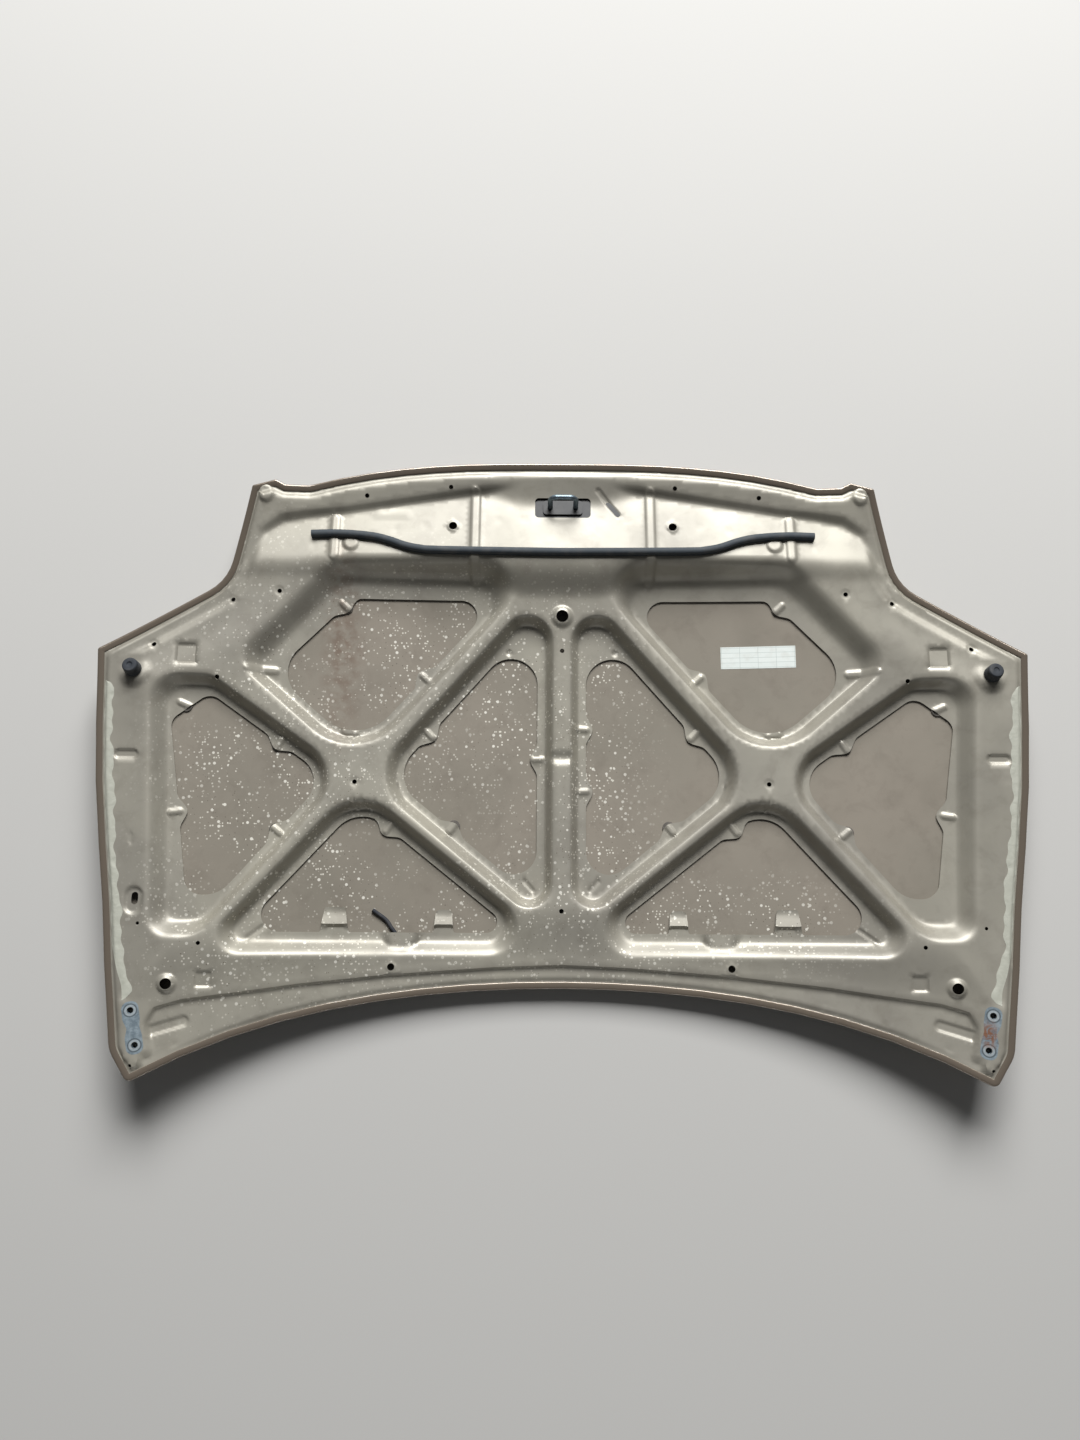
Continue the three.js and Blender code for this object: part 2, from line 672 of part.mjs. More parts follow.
// Joins two half meshes at the middle plane. Both are given with x >= 0; the second is mirrored.
function joinHalves(right, left) {
  const points = [];
  const triangles = [];
  const middle = new Map();
  [right, left].forEach((half, side) => {
    const sign = side === 0 ? 1 : -1;
    const index = half.points.map((p) => {
      const onMiddle = Math.abs(p.x) < 1e-6;
      const key = `${p.y.toFixed(4)},${p.z.toFixed(4)}`;
      if (onMiddle && middle.has(key)) {
        return middle.get(key);
      }
      points.push(new THREE.Vector3(onMiddle ? 0 : sign * p.x, p.y, p.z));
      if (onMiddle) {
        middle.set(key, points.length - 1);
      }
      return points.length - 1;
    });
    for (const [a, b, c] of half.triangles) {
      triangles.push(sign > 0 ? [index[a], index[b], index[c]] : [index[a], index[c], index[b]]);
    }
  });
  return { points, triangles };
}

// Closed solid of a sheet: its middle surface grown by half the wall to each side
function thicken({ points, triangles }, wall) {
  const normals = points.map(() => new THREE.Vector3());
  for (const [a, b, c] of triangles) {
    const normal = new THREE.Vector3()
      .crossVectors(points[b].clone().sub(points[a]), points[c].clone().sub(points[a]));
    normals[a].add(normal);
    normals[b].add(normal);
    normals[c].add(normal);
  }
  normals.forEach((normal) => normal.normalize());
  const count = points.length;
  const upper = points.map((p, i) => p.clone().addScaledVector(normals[i], wall / 2));
  const lower = points.map((p, i) => p.clone().addScaledVector(normals[i], -wall / 2));
  const faces = [];
  const edges = new Map();
  for (const [a, b, c] of triangles) {
    faces.push([a, b, c], [count + a, count + c, count + b]);
    for (const [from, to] of [[a, b], [b, c], [c, a]]) {
      if (edges.has(`${to},${from}`)) {
        edges.delete(`${to},${from}`);
      } else {
        edges.set(`${from},${to}`, [from, to]);
      }
    }
  }
  for (const [a, b] of edges.values()) {
    faces.push([count + a, count + b, b], [count + a, b, a]);
  }
  const geometry = new THREE.BufferGeometry();
  const positions = [...upper, ...lower].flatMap((p) => [p.x, p.y, p.z]);
  geometry.setAttribute('position', new THREE.Float32BufferAttribute(positions, 3));
  geometry.setIndex(faces.flat());
  return geometry;
}

function rightHalf(loop) {
  const end = loop.findIndex((p, i) => i > 0 && Math.abs(p.x) < 1e-6);
  return loop.slice(0, end + 1);
}

// Points of a triangular grid over the right half
function gridPoints(spacing) {
  const points = [];
  const rowStep = spacing * Math.sqrt(3) / 2;
  const rows = Math.ceil((FRONT_REACH + TIP_REACH) / rowStep);
  for (let row = 0; row <= rows; row += 1) {
    for (let x = row % 2 ? spacing : spacing / 2; x < HALF_WIDTH; x += spacing) {
      points.push({ x, y: -TIP_REACH + row * rowStep, gap: spacing * 0.72 });
    }
  }
  return points;
}

function axisPoints(from, to, step) {
  const count = Math.max(1, Math.round(Math.abs(to - from) / step));
  return range(count - 1, (i) => new THREE.Vector2(0, from + (to - from) * (i + 1) / count));
}

// Joins rows of points round the outside of a half mesh, whose border comes first in its points
function addRows(points, triangles, rows) {
  let inner = rows[0].map((_, i) => i);
  for (const row of rows) {
    const outer = row.map((_, i) => points.length + i);
    points.push(...row);
    for (let i = 0; i + 1 < row.length; i += 1) {
      triangles.push([inner[i], outer[i], outer[i + 1]], [inner[i], outer[i + 1], inner[i + 1]]);
    }
    inner = outer;
  }
}

// A row along the right half of the outline, at an inset, with its height from `heightAt`
function edgeRow(inset, heightAt) {
  return rightHalf(roundedLoop(outline, inset, OUTLINE_STEP)).map((p) => {
    const x = Math.abs(p.x) < 1e-6 ? 0 : p.x;
    return new THREE.Vector3(x, p.y, heightAt(x, p.y));
  });
}

// The outer skin: the crowned sheet, its turned-up rim and the hem folded over the inner panel
function makeSkinSheet() {
  const rimRow = (inset, rise) => edgeRow(inset, (x, y) => skinHeight(x, y) + rise(x));
  const wallInset = SKIN_WALL / 2;
  const foot = RIM_ROUND + wallInset;
  const bend = (degrees) => {
    const angle = THREE.MathUtils.degToRad(degrees);
    return rimRow(foot - RIM_ROUND * Math.sin(angle), () => RIM_ROUND * (1 - Math.cos(angle)));
  };
  const border = rimRow(foot, () => 0);
  const axis = axisPoints(border[border.length - 1].y, border[0].y, SKIN_GRID);
  const carried = [...padsOf('right'), ...padsOf('left'), ...labelPlaces].map(({ x, y }) => ({ x, y, gap: 5 }));
  const flat = meshArea([...border, ...axis], [], [...carried, ...gridPoints(SKIN_GRID)]);
  const points = flat.points.map((p) => new THREE.Vector3(p.x, p.y, skinHeight(p.x, p.y)));
  const { triangles } = flat;
  addRows(points, triangles, [
    bend(45),
    bend(90),
    rimRow(wallInset, (x) => rimHeight(x) - 1),
    rimRow(wallInset + 1, rimHeight),
    rimRow(wallInset + HEM_WIDTH, rimHeight),
  ]);
  const half = { points, triangles };
  return thicken(joinHalves(half, half), SKIN_WALL);
}

// Soft bulges of a cut-out's edge round the mastic pads
function withLobes(loop, lobes) {
  const finer = loop.flatMap((p, i) => {
    const next = loop[(i + 1) % loop.length];
    const middle = p.clone().lerp(next, 0.5);
    const near = lobes.some((pad) => Math.hypot(middle.x - pad.x, middle.y - pad.y) < LOBE_HALF_LENGTH + 6);
    return near && p.distanceTo(next) > 12 ? [p, middle] : [p];
  });
  return finer.map((p, i) => {
    const before = finer[(i + finer.length - 1) % finer.length];
    const after = finer[(i + 1) % finer.length];
    const along = after.clone().sub(before).normalize();
    const moved = p.clone();
    for (const { x, y, reach } of lobes) {
      const share = 1 - smooth(Math.hypot(p.x - x, p.y - y) / LOBE_HALF_LENGTH);
      moved.x -= along.y * reach * share;
      moved.y += along.x * reach * share;
    }
    return moved;
  });
}

function circle(x, y, diameter, sides = 8, turn = 0.5) {
  const centre = new THREE.Vector2(x, y);
  const start = new THREE.Vector2(x + diameter / 2, y);
  return range(sides, (i) => start.clone().rotateAround(centre, 2 * Math.PI * (i + turn) / sides));
}

// Half of a round hole on the middle plane, from its front point to its rear point
function halfCircle(y, diameter, sides) {
  const centre = new THREE.Vector2(0, y);
  const start = new THREE.Vector2(0, y + diameter / 2);
  return range(sides + 1, (i) => {
    const p = start.clone().rotateAround(centre, -Math.PI * i / sides);
    return i === 0 || i === sides ? new THREE.Vector2(0, p.y) : p;
  });
}

// Half of the striker window on the middle plane
function halfWindow() {
  const x = WINDOW_WIDTH / 2;
  const top = WINDOW_Y + WINDOW_LENGTH / 2;
  const bottom = WINDOW_Y - WINDOW_LENGTH / 2;
  const bevel = WINDOW_ROUND * 0.4;
  return [
    new THREE.Vector2(0, top), new THREE.Vector2(x - WINDOW_ROUND, top),
    new THREE.Vector2(x - bevel, top - bevel), new THREE.Vector2(x, top - WINDOW_ROUND),
    new THREE.Vector2(x, bottom + WINDOW_ROUND), new THREE.Vector2(x - bevel, bottom + bevel),
    new THREE.Vector2(x - WINDOW_ROUND, bottom), new THREE.Vector2(0, bottom),
  ];
}

const hingeHoles = [1, -1].map((end) => corner(
  HINGE_X + end * Math.sin(HINGE_LEAN) * HINGE_PITCH / 2,
  HINGE_Y + end * Math.cos(HINGE_LEAN) * HINGE_PITCH / 2,
));
const SMALL_HOLES = [
  corner(177, FRONT_REACH - 40), corner(309, FRONT_REACH - 56),
  corner(FRONT_CORNER_X - 47, FRONT_CORNER_Y - 167), corner(FRONT_CORNER_X + 24, FRONT_CORNER_Y - 182),
  corner(HALF_WIDTH - 82, SIDE_CORNER_Y + 9), corner(HALF_WIDTH - 178, SIDE_CORNER_Y - 39),
  corner(317, -65), corner(HALF_WIDTH - 88, -279), corner(HALF_WIDTH - 176, -307),
];
const RING_HOLE_PLACE = corner(173, FRONT_REACH - 103);
const REAR_HOLE = 10.5;
const REAR_HOLE_PLACE = corner(253, -341);
const TIP_HOLE = 5;
const TIP_HOLE_PLACE = corner(TIP_HALF_SPAN - 4, -TIP_REACH + 24);
const SPINE_HOLES_Y = [FRONT_REACH - 298, -258];

// Points along a line from the middle plane outwards, moved to its left
function besideLine(line, offset, spacing = PANEL_GRID) {
  const path = new THREE.Path(line.map((p) => new THREE.Vector2(p.x, p.y)));
  const steps = Math.round(path.getLength() / spacing);
  return range(steps, (i) => {
    const along = path.getTangentAt((i + 0.5) / steps);
    return path.getPointAt((i + 0.5) / steps).add(new THREE.Vector2(-along.y, along.x).multiplyScalar(offset));
  });
}

// The pressed inner panel, one half
function panelHalf(side) {
  const border = edgeRow(PANEL_FOLD_INSET, () => 0);
  const axisCuts = [
    halfWindow(), halfCircle(CENTRE_HOLE_Y, CENTRE_HOLE, 6),
    ...SPINE_HOLES_Y.map((y) => halfCircle(y, SMALL_HOLE, 4)),
  ];
  let y = border[border.length - 1].y;
  const axis = [];
  for (const cut of axisCuts) {
    axis.push(...axisPoints(y, cut[0].y, PANEL_GRID), ...cut);
    y = cut[cut.length - 1].y;
  }
  axis.push(...axisPoints(y, border[0].y, PANEL_GRID));

  const openings = Object.entries(POCKETS).map(([name, pocket]) => {
    const lobes = name === 'centre' ? [...pocket.lobes, ...SPINE_LOBES[side]] : pocket.lobes;
    return withLobes(roundedLoop(pocket.opening), lobes);
  });
  const holes = [
    ...SMALL_HOLES.map((p) => circle(p.x, p.y, SMALL_HOLE, 6)),
    circle(RING_HOLE_PLACE.x, RING_HOLE_PLACE.y, RING_HOLE, 10),
    circle(REAR_HOLE_PLACE.x, REAR_HOLE_PLACE.y, REAR_HOLE, 8),
    circle(REAR_BOSS_X, REAR_BOSS_Y, BOSS_HOLE, 12),
    circle(TIP_HOLE_PLACE.x, TIP_HOLE_PLACE.y, TIP_HOLE, 6),
    circle(STOP_X, STOP_Y, STOP_STEM + 2 * HOLE_CLEARANCE, 8),
    ...hingeHoles.map((p) => circle(p.x, p.y, HINGE_HOLE, 8)),
  ];
  if (side === 'left') {
    const halfLength = (PROP_SLOT_LENGTH - PROP_SLOT_WIDTH) / 2;
    holes.push(circle(-PROP_SLOT_X, PROP_SLOT_Y, PROP_SLOT_WIDTH, 12, 0.5).map((p) => (
      new THREE.Vector2(p.x, p.y + Math.sign(p.y - PROP_SLOT_Y) * halfLength)
    )));
  }

  const rings = [];
  const ring = (loop, gap) => loop.forEach((p) => rings.push({ x: p.x, y: p.y, gap }));
  ring(circle(STOP_X, STOP_Y, STOP_DIAMETER + 2 * STOP_SEAT_MARGIN, 12), 5);
  ring(circle(REAR_BOSS_X, REAR_BOSS_Y, BOSS_HOLE + 2 * BOSS_FLANK, 12), 5);
  ring(circle(0, CENTRE_HOLE_Y, CENTRE_HOLE + 2 * BOSS_FLANK, 16), 6);
  ring(hingePadRing(HINGE_PAD_WIDTH, HINGE_PAD_LENGTH), 5);
  ring(hingePadRing(HINGE_PAD_WIDTH + 2 * SEAT_FLANK, HINGE_PAD_LENGTH + 2 * SEAT_FLANK), 6);
  ring(edgeRow(PANEL_FOLD_INSET + EDGE_BLEND + 2, () => 0).filter((p) => p.x > 8), 4);
  for (const t of TONGUES) {
    for (const shift of [-0.7, 0, 0.7]) {
      rings.push({ x: t.x + shift * t.halfBase, y: TONGUE_BASE_Y - 3, gap: 4 });
      rings.push({ x: t.x + shift * t.halfBase, y: TONGUE_BASE_Y + 2, gap: 4 });
    }
  }
  ring(besideLine(rearStep.slice(0, -1), 0, STEP_GRID), 6);
  ring(besideLine(rearStep.slice(0, -1), REAR_STEP_WIDTH, STEP_GRID), 6);
  for (const pocket of Object.values(POCKETS)) {
    ring(pocket.footLoop.filter((p) => p.x > 5), 7);
    ring(pocket.crestLoop.filter((p) => p.x > 5), 9);
  }
  for (const pocket of Object.values(POCKETS)) {
    const halfWay = widened(pocket.foot, pocket.flanks.map((flank) => flank / 2), pocket.crestRound / 2);
    const onWideFlank = (p) => distanceToPath(pocket.footLoop, p.x, p.y, true) > LEAST_HALF_FLANK;
    ring(roundedLoop(halfWay).filter(onWideFlank), 8);
  }
  ring(circle(BAY_X, BAY_Y, 2 * BAY_FLOOR_RADIUS, 10), 7);
  ring(circle(BAY_X, BAY_Y, 2 * (BAY_FLOOR_RADIUS + BAY_FLANK), 12), 7);
  ring(besideLine(stripLine, -STRIP_FLANK / 2), 9);
  ring(besideLine(stripLine, STRIP_FLANK / 2), 8);
  rings.push({ x: SPINE_HALF, y: SPINE_DIP_Y, gap: 6 });
  const flat = meshArea([...border, ...axis], [...openings, ...holes], [...rings, ...gridPoints(PANEL_GRID)]);
  const sign = side === 'right' ? 1 : -1;
  const points = flat.points.map((p) => new THREE.Vector3(p.x, p.y, panelZ(sign * p.x, p.y)));
  addRows(points, flat.triangles, [edgeRow(PANEL_EDGE_INSET, panelZ)]);
  return { points, triangles: flat.triangles };
}

function hingePadRing(width, length) {
  const sides = [-1, 1].flatMap((across) => [-1, -0.5, 0, 0.5, 1].map((along) => [across, along]));
  return [[0, -1], ...sides, [0, 1]].map(([across, along]) => (
    new THREE.Vector2(across * width / 2, along * length / 2)
      .rotateAround(new THREE.Vector2(), -HINGE_LEAN)
      .add(new THREE.Vector2(HINGE_X, HINGE_Y))
  ));
}

// A closed plate standing on the XY plane, with round holes
function plateGeometry(width, length, round, wall, holes = []) {
  const shape = new THREE.Shape(roundedLoop([
    corner(-width / 2, -length / 2, round), corner(width / 2, -length / 2, round),
    corner(width / 2, length / 2, round), corner(-width / 2, length / 2, round),
  ], 0, width));
  holes.forEach((hole) => shape.holes.push(new THREE.Path(circle(hole.x, hole.y, hole.round, 12))));
  return new THREE.ExtrudeGeometry(shape, { depth: wall, bevelEnabled: false });
}

function latheGeometry(profile, sides) {
  const points = profile.map(([radius, z]) => new THREE.Vector2(radius, z));
  return new THREE.LatheGeometry(points, sides).rotateX(Math.PI / 2);
}

// Turns a piece so that its own Z points along `normal`, and puts it at `point`
function seatPiece(mesh, point, normal, turn = 0) {
  const tilt = new THREE.Quaternion().setFromUnitVectors(new THREE.Vector3(0, 0, 1), normal);
  const spin = new THREE.Quaternion().setFromAxisAngle(new THREE.Vector3(0, 0, 1), turn);
  mesh.quaternion.copy(tilt.multiply(spin));
  mesh.position.copy(point);
  return mesh;
}

const paint = new THREE.MeshStandardMaterial({ color: 0xb9b2a6, roughness: 0.38, metalness: 0.35 });
const skinPaint = new THREE.MeshStandardMaterial({ color: 0xa39c91, roughness: 0.4, metalness: 0.35 });
const bareSteel = new THREE.MeshStandardMaterial({ color: 0x8fa0ab, roughness: 0.35, metalness: 0.9 });
const rubber = new THREE.MeshStandardMaterial({ color: 0x3b4248, roughness: 0.8, metalness: 0 });
const stopRubber = new THREE.MeshStandardMaterial({ color: 0x2a2f36, roughness: 0.75, metalness: 0 });
const mastic = new THREE.MeshStandardMaterial({ color: 0x6f6a63, roughness: 0.85, metalness: 0 });
const film = new THREE.MeshStandardMaterial({ color: 0xe8eeea, roughness: 0.5, metalness: 0 });

const bonnet = new THREE.Group();
function addPiece(name, geometry, material) {
  const mesh = new THREE.Mesh(geometry, material);
  mesh.name = name;
  bonnet.add(mesh);
  return mesh;
}

addPiece('outer_skin', makeSkinSheet(), skinPaint);
addPiece('inner_panel', thicken(joinHalves(panelHalf('right'), panelHalf('left')), PANEL_WALL), paint);

// Hinge reinforcements under the rear corners, with their weld nuts
const underPanel = PANEL_WALL / 2 + SEAT_GAP;
for (const [side, sign] of [['left', -1], ['right', 1]]) {
  const normal = hingeSeat.normal.clone();
  normal.x *= sign;
  const point = hingeSeat.point.clone();
  point.x *= sign;
  const plateTop = underPanel + HINGE_PLATE_WALL;
  const holes = [1, -1].map((end) => corner(0, end * HINGE_PITCH / 2, HINGE_HOLE));
  const plate = plateGeometry(HINGE_PLATE_WIDTH, HINGE_PLATE_LENGTH, 5, HINGE_PLATE_WALL, holes);
  seatPiece(
    addPiece(`hinge_reinforcement_${side}`, plate, bareSteel),
    point.clone().addScaledVector(normal, -plateTop), normal, -sign * HINGE_LEAN,
  );
  for (const [place, end] of [['front', 1], ['rear', -1]]) {
    const across = HINGE_NUT_ACROSS_FLATS / Math.sqrt(3);
    const nut = latheGeometry([
      [HINGE_THREAD / 2, 0], [across, 0], [across, HINGE_NUT_HEIGHT],
      [HINGE_THREAD / 2, HINGE_NUT_HEIGHT], [HINGE_THREAD / 2, 0],
    ], 6);
    nut.translate(0, end * HINGE_PITCH / 2, 0);
    seatPiece(
      addPiece(`hinge_nut_${place}_${side}`, nut, bareSteel),
      point.clone().addScaledVector(normal, -plateTop - SEAT_GAP - HINGE_NUT_HEIGHT), normal,
      -sign * HINGE_LEAN,
    );
  }
}

// Rubber bump stops near the side corners
for (const [side, sign] of [['left', -1], ['right', 1]]) {
  const radius = STOP_DIAMETER / 2;
  const stop = latheGeometry([
    [0, -STOP_STEM_LENGTH], [STOP_STEM / 2 - 1, -STOP_STEM_LENGTH], [STOP_STEM / 2, -STOP_STEM_LENGTH + 2],
    [STOP_STEM / 2, 0], [radius - 1, 0], [radius, 1], [radius - 1.5, STOP_HEIGHT - 2],
    [radius - 3, STOP_HEIGHT], [0, STOP_HEIGHT],
  ], 16);
  const point = stopSeat.point.clone();
  point.x *= sign;
  seatPiece(
    addPiece(`bump_stop_${side}`, stop, stopRubber),
    point.addScaledVector(stopSeat.normal, PANEL_WALL / 2 + SEAT_GAP), stopSeat.normal,
  );
}

// Latch reinforcement under the shelf, with the striker standing in the window
const shelfNormal = new THREE.Vector3(0, SHELF_SLOPE, 1).normalize();
const shelfPoint = new THREE.Vector3(0, WINDOW_Y, shelfHeight(WINDOW_Y));
const plateDrop = underPanel + LATCH_PLATE_WALL;
const latchPlate = plateGeometry(LATCH_PLATE_WIDTH, LATCH_PLATE_LENGTH, 12, LATCH_PLATE_WALL);
const platePoint = shelfPoint.clone().addScaledVector(shelfNormal, -plateDrop);
seatPiece(
  addPiece('latch_reinforcement', latchPlate, bareSteel),
  platePoint.clone().add(new THREE.Vector3(0, -LATCH_PLATE_SHIFT, LATCH_PLATE_SHIFT * SHELF_SLOPE)),
  shelfNormal,
);
const strikerLegs = [-1, 1].map((side) => (
  corner(side * STRIKER_SPAN / 2, 0, STRIKER_WIRE + 2 * HOLE_CLEARANCE)
));
const strikerBase = plateGeometry(STRIKER_BASE_WIDTH, STRIKER_BASE_LENGTH, 5, STRIKER_BASE_WALL, strikerLegs);
const basePoint = platePoint.clone().addScaledVector(shelfNormal, LATCH_PLATE_WALL + SEAT_GAP);
seatPiece(addPiece('striker_base', strikerBase, bareSteel), basePoint, shelfNormal);
const loopPath = new THREE.CurvePath();
const legX = STRIKER_SPAN / 2;
const crownZ = STRIKER_BASE_WALL + STRIKER_HEIGHT - STRIKER_WIRE / 2;
loopPath.add(new THREE.LineCurve3(new THREE.Vector3(-legX, 0, 0), new THREE.Vector3(-legX, 0, crownZ - STRIKER_BEND)));
loopPath.add(new THREE.QuadraticBezierCurve3(
  new THREE.Vector3(-legX, 0, crownZ - STRIKER_BEND), new THREE.Vector3(-legX, 0, crownZ),
  new THREE.Vector3(-legX + STRIKER_BEND, 0, crownZ),
));
loopPath.add(new THREE.LineCurve3(
  new THREE.Vector3(-legX + STRIKER_BEND, 0, crownZ), new THREE.Vector3(legX - STRIKER_BEND, 0, crownZ),
));
loopPath.add(new THREE.QuadraticBezierCurve3(
  new THREE.Vector3(legX - STRIKER_BEND, 0, crownZ), new THREE.Vector3(legX, 0, crownZ),
  new THREE.Vector3(legX, 0, crownZ - STRIKER_BEND),
));
loopPath.add(new THREE.LineCurve3(new THREE.Vector3(legX, 0, crownZ - STRIKER_BEND), new THREE.Vector3(legX, 0, 0)));
const strikerWire = new THREE.ExtrudeGeometry(new THREE.Shape(circle(0, 0, STRIKER_WIRE, 8)), {
  steps: 22, bevelEnabled: false, extrudePath: loopPath,
});
seatPiece(addPiece('striker_loop', strikerWire, bareSteel), basePoint, shelfNormal);

// Rubber seal lying on the rear edge of the latch shelf
const sealHalf = [
  fromFrontEdge(33, 148), fromFrontEdge(194, 146), fromFrontEdge(223, 144), fromFrontEdge(247, 139),
  fromFrontEdge(272, 130), fromFrontEdge(301, 123), fromFrontEdge(350, 119), fromFrontEdge(389, 120),
];
const sealRoute = [...sealHalf.map((p) => corner(-p.x, p.y)).reverse(), ...sealHalf];
const sealCurve = new THREE.CatmullRomCurve3(sealRoute.map((p) => new THREE.Vector3(p.x, p.y, 0)));
const sealSection = [
  [-0.5, 0], [0.5, 0], [0.5, 0.45], [0.34, 0.85], [0, 1], [-0.34, 0.85], [-0.5, 0.45],
].map(([across, up]) => new THREE.Vector2(across * SEAL_WIDTH, up * SEAL_HEIGHT));
const SEAL_STEPS = 44;

function sealGeometry() {
  const positions = [];
  const size = sealSection.length;
  const foot = PANEL_WALL / 2 + SEAT_GAP;
  for (let i = 0; i <= SEAL_STEPS; i += 1) {
    const place = sealCurve.getPointAt(i / SEAL_STEPS);
    const along = sealCurve.getTangentAt(i / SEAL_STEPS);
    for (const p of sealSection) {
      const y = place.y + along.x * p.x;
      positions.push(place.x - along.y * p.x, y, shelfHeight(y) + foot + p.y);
    }
  }
  const faces = [];
  for (let i = 0; i < SEAL_STEPS; i += 1) {
    for (let k = 0; k < size; k += 1) {
      const a = i * size + k;
      const b = i * size + (k + 1) % size;
      faces.push([a, b + size, a + size], [a, b, b + size]);
    }
  }
  const last = SEAL_STEPS * size;
  THREE.ShapeUtils.triangulateShape(sealSection, [])
    .forEach(([a, b, c]) => faces.push([a, c, b], [last + a, last + b, last + c]));
  const geometry = new THREE.BufferGeometry();
  geometry.setAttribute('position', new THREE.Float32BufferAttribute(positions, 3));
  geometry.setIndex(faces.flat());
  return geometry;
}
addPiece('front_seal', sealGeometry(), rubber);

// Mastic pads that bond the flanges of the panel to the skin
const MASTIC_WALL = FLANGE_RISE - PANEL_WALL / 2 - SKIN_WALL / 2 - 2 * SEAT_GAP;
function masticPad(x, y) {
  const rim = circle(x, y, MASTIC_DIAMETER, 12);
  const level = SKIN_WALL / 2 + SEAT_GAP + MASTIC_WALL / 2;
  const points = [new THREE.Vector2(x, y), ...rim]
    .map((p) => new THREE.Vector3(p.x, p.y, skinHeight(p.x, p.y) + level));
  const triangles = rim.map((_, i) => [0, 1 + i, 1 + (i + 1) % rim.length]);
  return thicken({ points, triangles }, MASTIC_WALL);
}
for (const [side, sign] of [['left', -1], ['right', 1]]) {
  padsOf(side).forEach((pad, index) => {
    addPiece(`mastic_pad_${index + 1}_${side}`, masticPad(sign * pad.x, pad.y), mastic);
  });
}

// Blank label on the skin, seen through the right front cut-out
function labelSheet() {
  const columns = 4;
  const points = [];
  const triangles = [];
  const centre = new THREE.Vector2(LABEL_X, LABEL_Y);
  for (let row = 0; row <= 1; row += 1) {
    for (let column = 0; column <= columns; column += 1) {
      const p = new THREE.Vector2((column / columns - 0.5) * LABEL_WIDTH, (row - 0.5) * LABEL_LENGTH)
        .rotateAround(new THREE.Vector2(), LABEL_TURN).add(centre);
      const level = SKIN_WALL / 2 + SEAT_GAP + LABEL_WALL / 2;
      points.push(new THREE.Vector3(p.x, p.y, skinHeight(p.x, p.y) + level));
    }
  }
  for (let column = 0; column < columns; column += 1) {
    const above = column + columns + 1;
    triangles.push([column, column + 1, above + 1], [column, above + 1, above]);
  }
  return thicken({ points, triangles }, LABEL_WALL);
}
addPiece('label', labelSheet(), film);

// Washer hose: its free end lies on the skin, its other end goes in under the rear rib
const HOSE_ROUTE = [
  corner(-180, -331), corner(-215, -325), corner(-240, -312), corner(-248, -295),
  corner(-256, -284), corner(-265, -272), corner(-285, -258),
];
const hoseLift = SKIN_WALL / 2 + SEAT_GAP + HOSE_DIAMETER / 2;
const hoseCurve = new THREE.CatmullRomCurve3(
  HOSE_ROUTE.map((p) => new THREE.Vector3(p.x, p.y, skinHeight(p.x, p.y) + hoseLift)),
);
addPiece('washer_hose', new THREE.ExtrudeGeometry(new THREE.Shape(circle(0, 0, HOSE_DIAMETER, 8)), {
  steps: 12, bevelEnabled: false, extrudePath: hoseCurve,
}), rubber);

// The origin lies under the middle of the plan box, level with the lowest point
bonnet.updateMatrixWorld(true);
const box = new THREE.Box3().setFromObject(bonnet, true);
const middle = box.getCenter(new THREE.Vector3());
bonnet.position.set(-middle.x, -middle.y, -box.min.z);

export default bonnet;
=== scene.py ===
"""Car bonnet, lying on the crown of its outer skin with the underside up.

The sheet pieces are drawn in millimetres in plan, measured from the crown, and go into the frame
in metres. X runs across the car, +Y points at the front edge with the latch, +Z is up.
"""

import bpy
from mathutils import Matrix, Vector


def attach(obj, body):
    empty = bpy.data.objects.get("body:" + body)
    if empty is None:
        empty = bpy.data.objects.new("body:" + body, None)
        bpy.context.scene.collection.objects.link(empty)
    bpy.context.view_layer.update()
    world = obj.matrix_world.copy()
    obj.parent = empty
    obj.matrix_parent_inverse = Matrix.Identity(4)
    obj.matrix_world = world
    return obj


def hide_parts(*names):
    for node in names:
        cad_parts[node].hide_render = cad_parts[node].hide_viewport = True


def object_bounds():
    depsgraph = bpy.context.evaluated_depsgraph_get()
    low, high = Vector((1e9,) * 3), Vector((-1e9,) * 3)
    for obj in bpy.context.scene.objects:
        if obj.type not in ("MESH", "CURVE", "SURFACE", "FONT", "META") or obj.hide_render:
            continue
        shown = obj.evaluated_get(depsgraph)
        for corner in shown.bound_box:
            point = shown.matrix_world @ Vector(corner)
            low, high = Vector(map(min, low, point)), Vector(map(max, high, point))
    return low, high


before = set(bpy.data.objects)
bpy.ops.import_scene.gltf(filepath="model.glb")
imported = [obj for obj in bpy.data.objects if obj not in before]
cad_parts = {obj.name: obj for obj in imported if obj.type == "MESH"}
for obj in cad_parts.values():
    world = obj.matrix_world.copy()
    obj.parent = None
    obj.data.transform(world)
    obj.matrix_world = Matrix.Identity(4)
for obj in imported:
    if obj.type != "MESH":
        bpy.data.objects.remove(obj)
CAD_BOX = [list(corner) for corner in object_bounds()]

import math

import bpy
import numpy as np
from mathutils import Matrix, Quaternion, Vector
from mathutils.geometry import delaunay_2d_cdt
from mathutils.kdtree import KDTree

MM = 0.001

# Plan of the bonnet
HALF_WIDTH = 708
FRONT_REACH = 442
REAR_REACH = 372
TIP_REACH = 502
TIP_X = 617
SIDE_CORNER_Y = 132
FRONT_CORNER = (488, 398)
FRONT_FALL = 40.5
FRONT_FALL_X = 400
LATERAL_RADIUS = 5200
SIDE_ROLL = 16
FRONT_RADIUS = 2900
FRONT_ROLL = 18.6
REAR_RADIUS = 4300

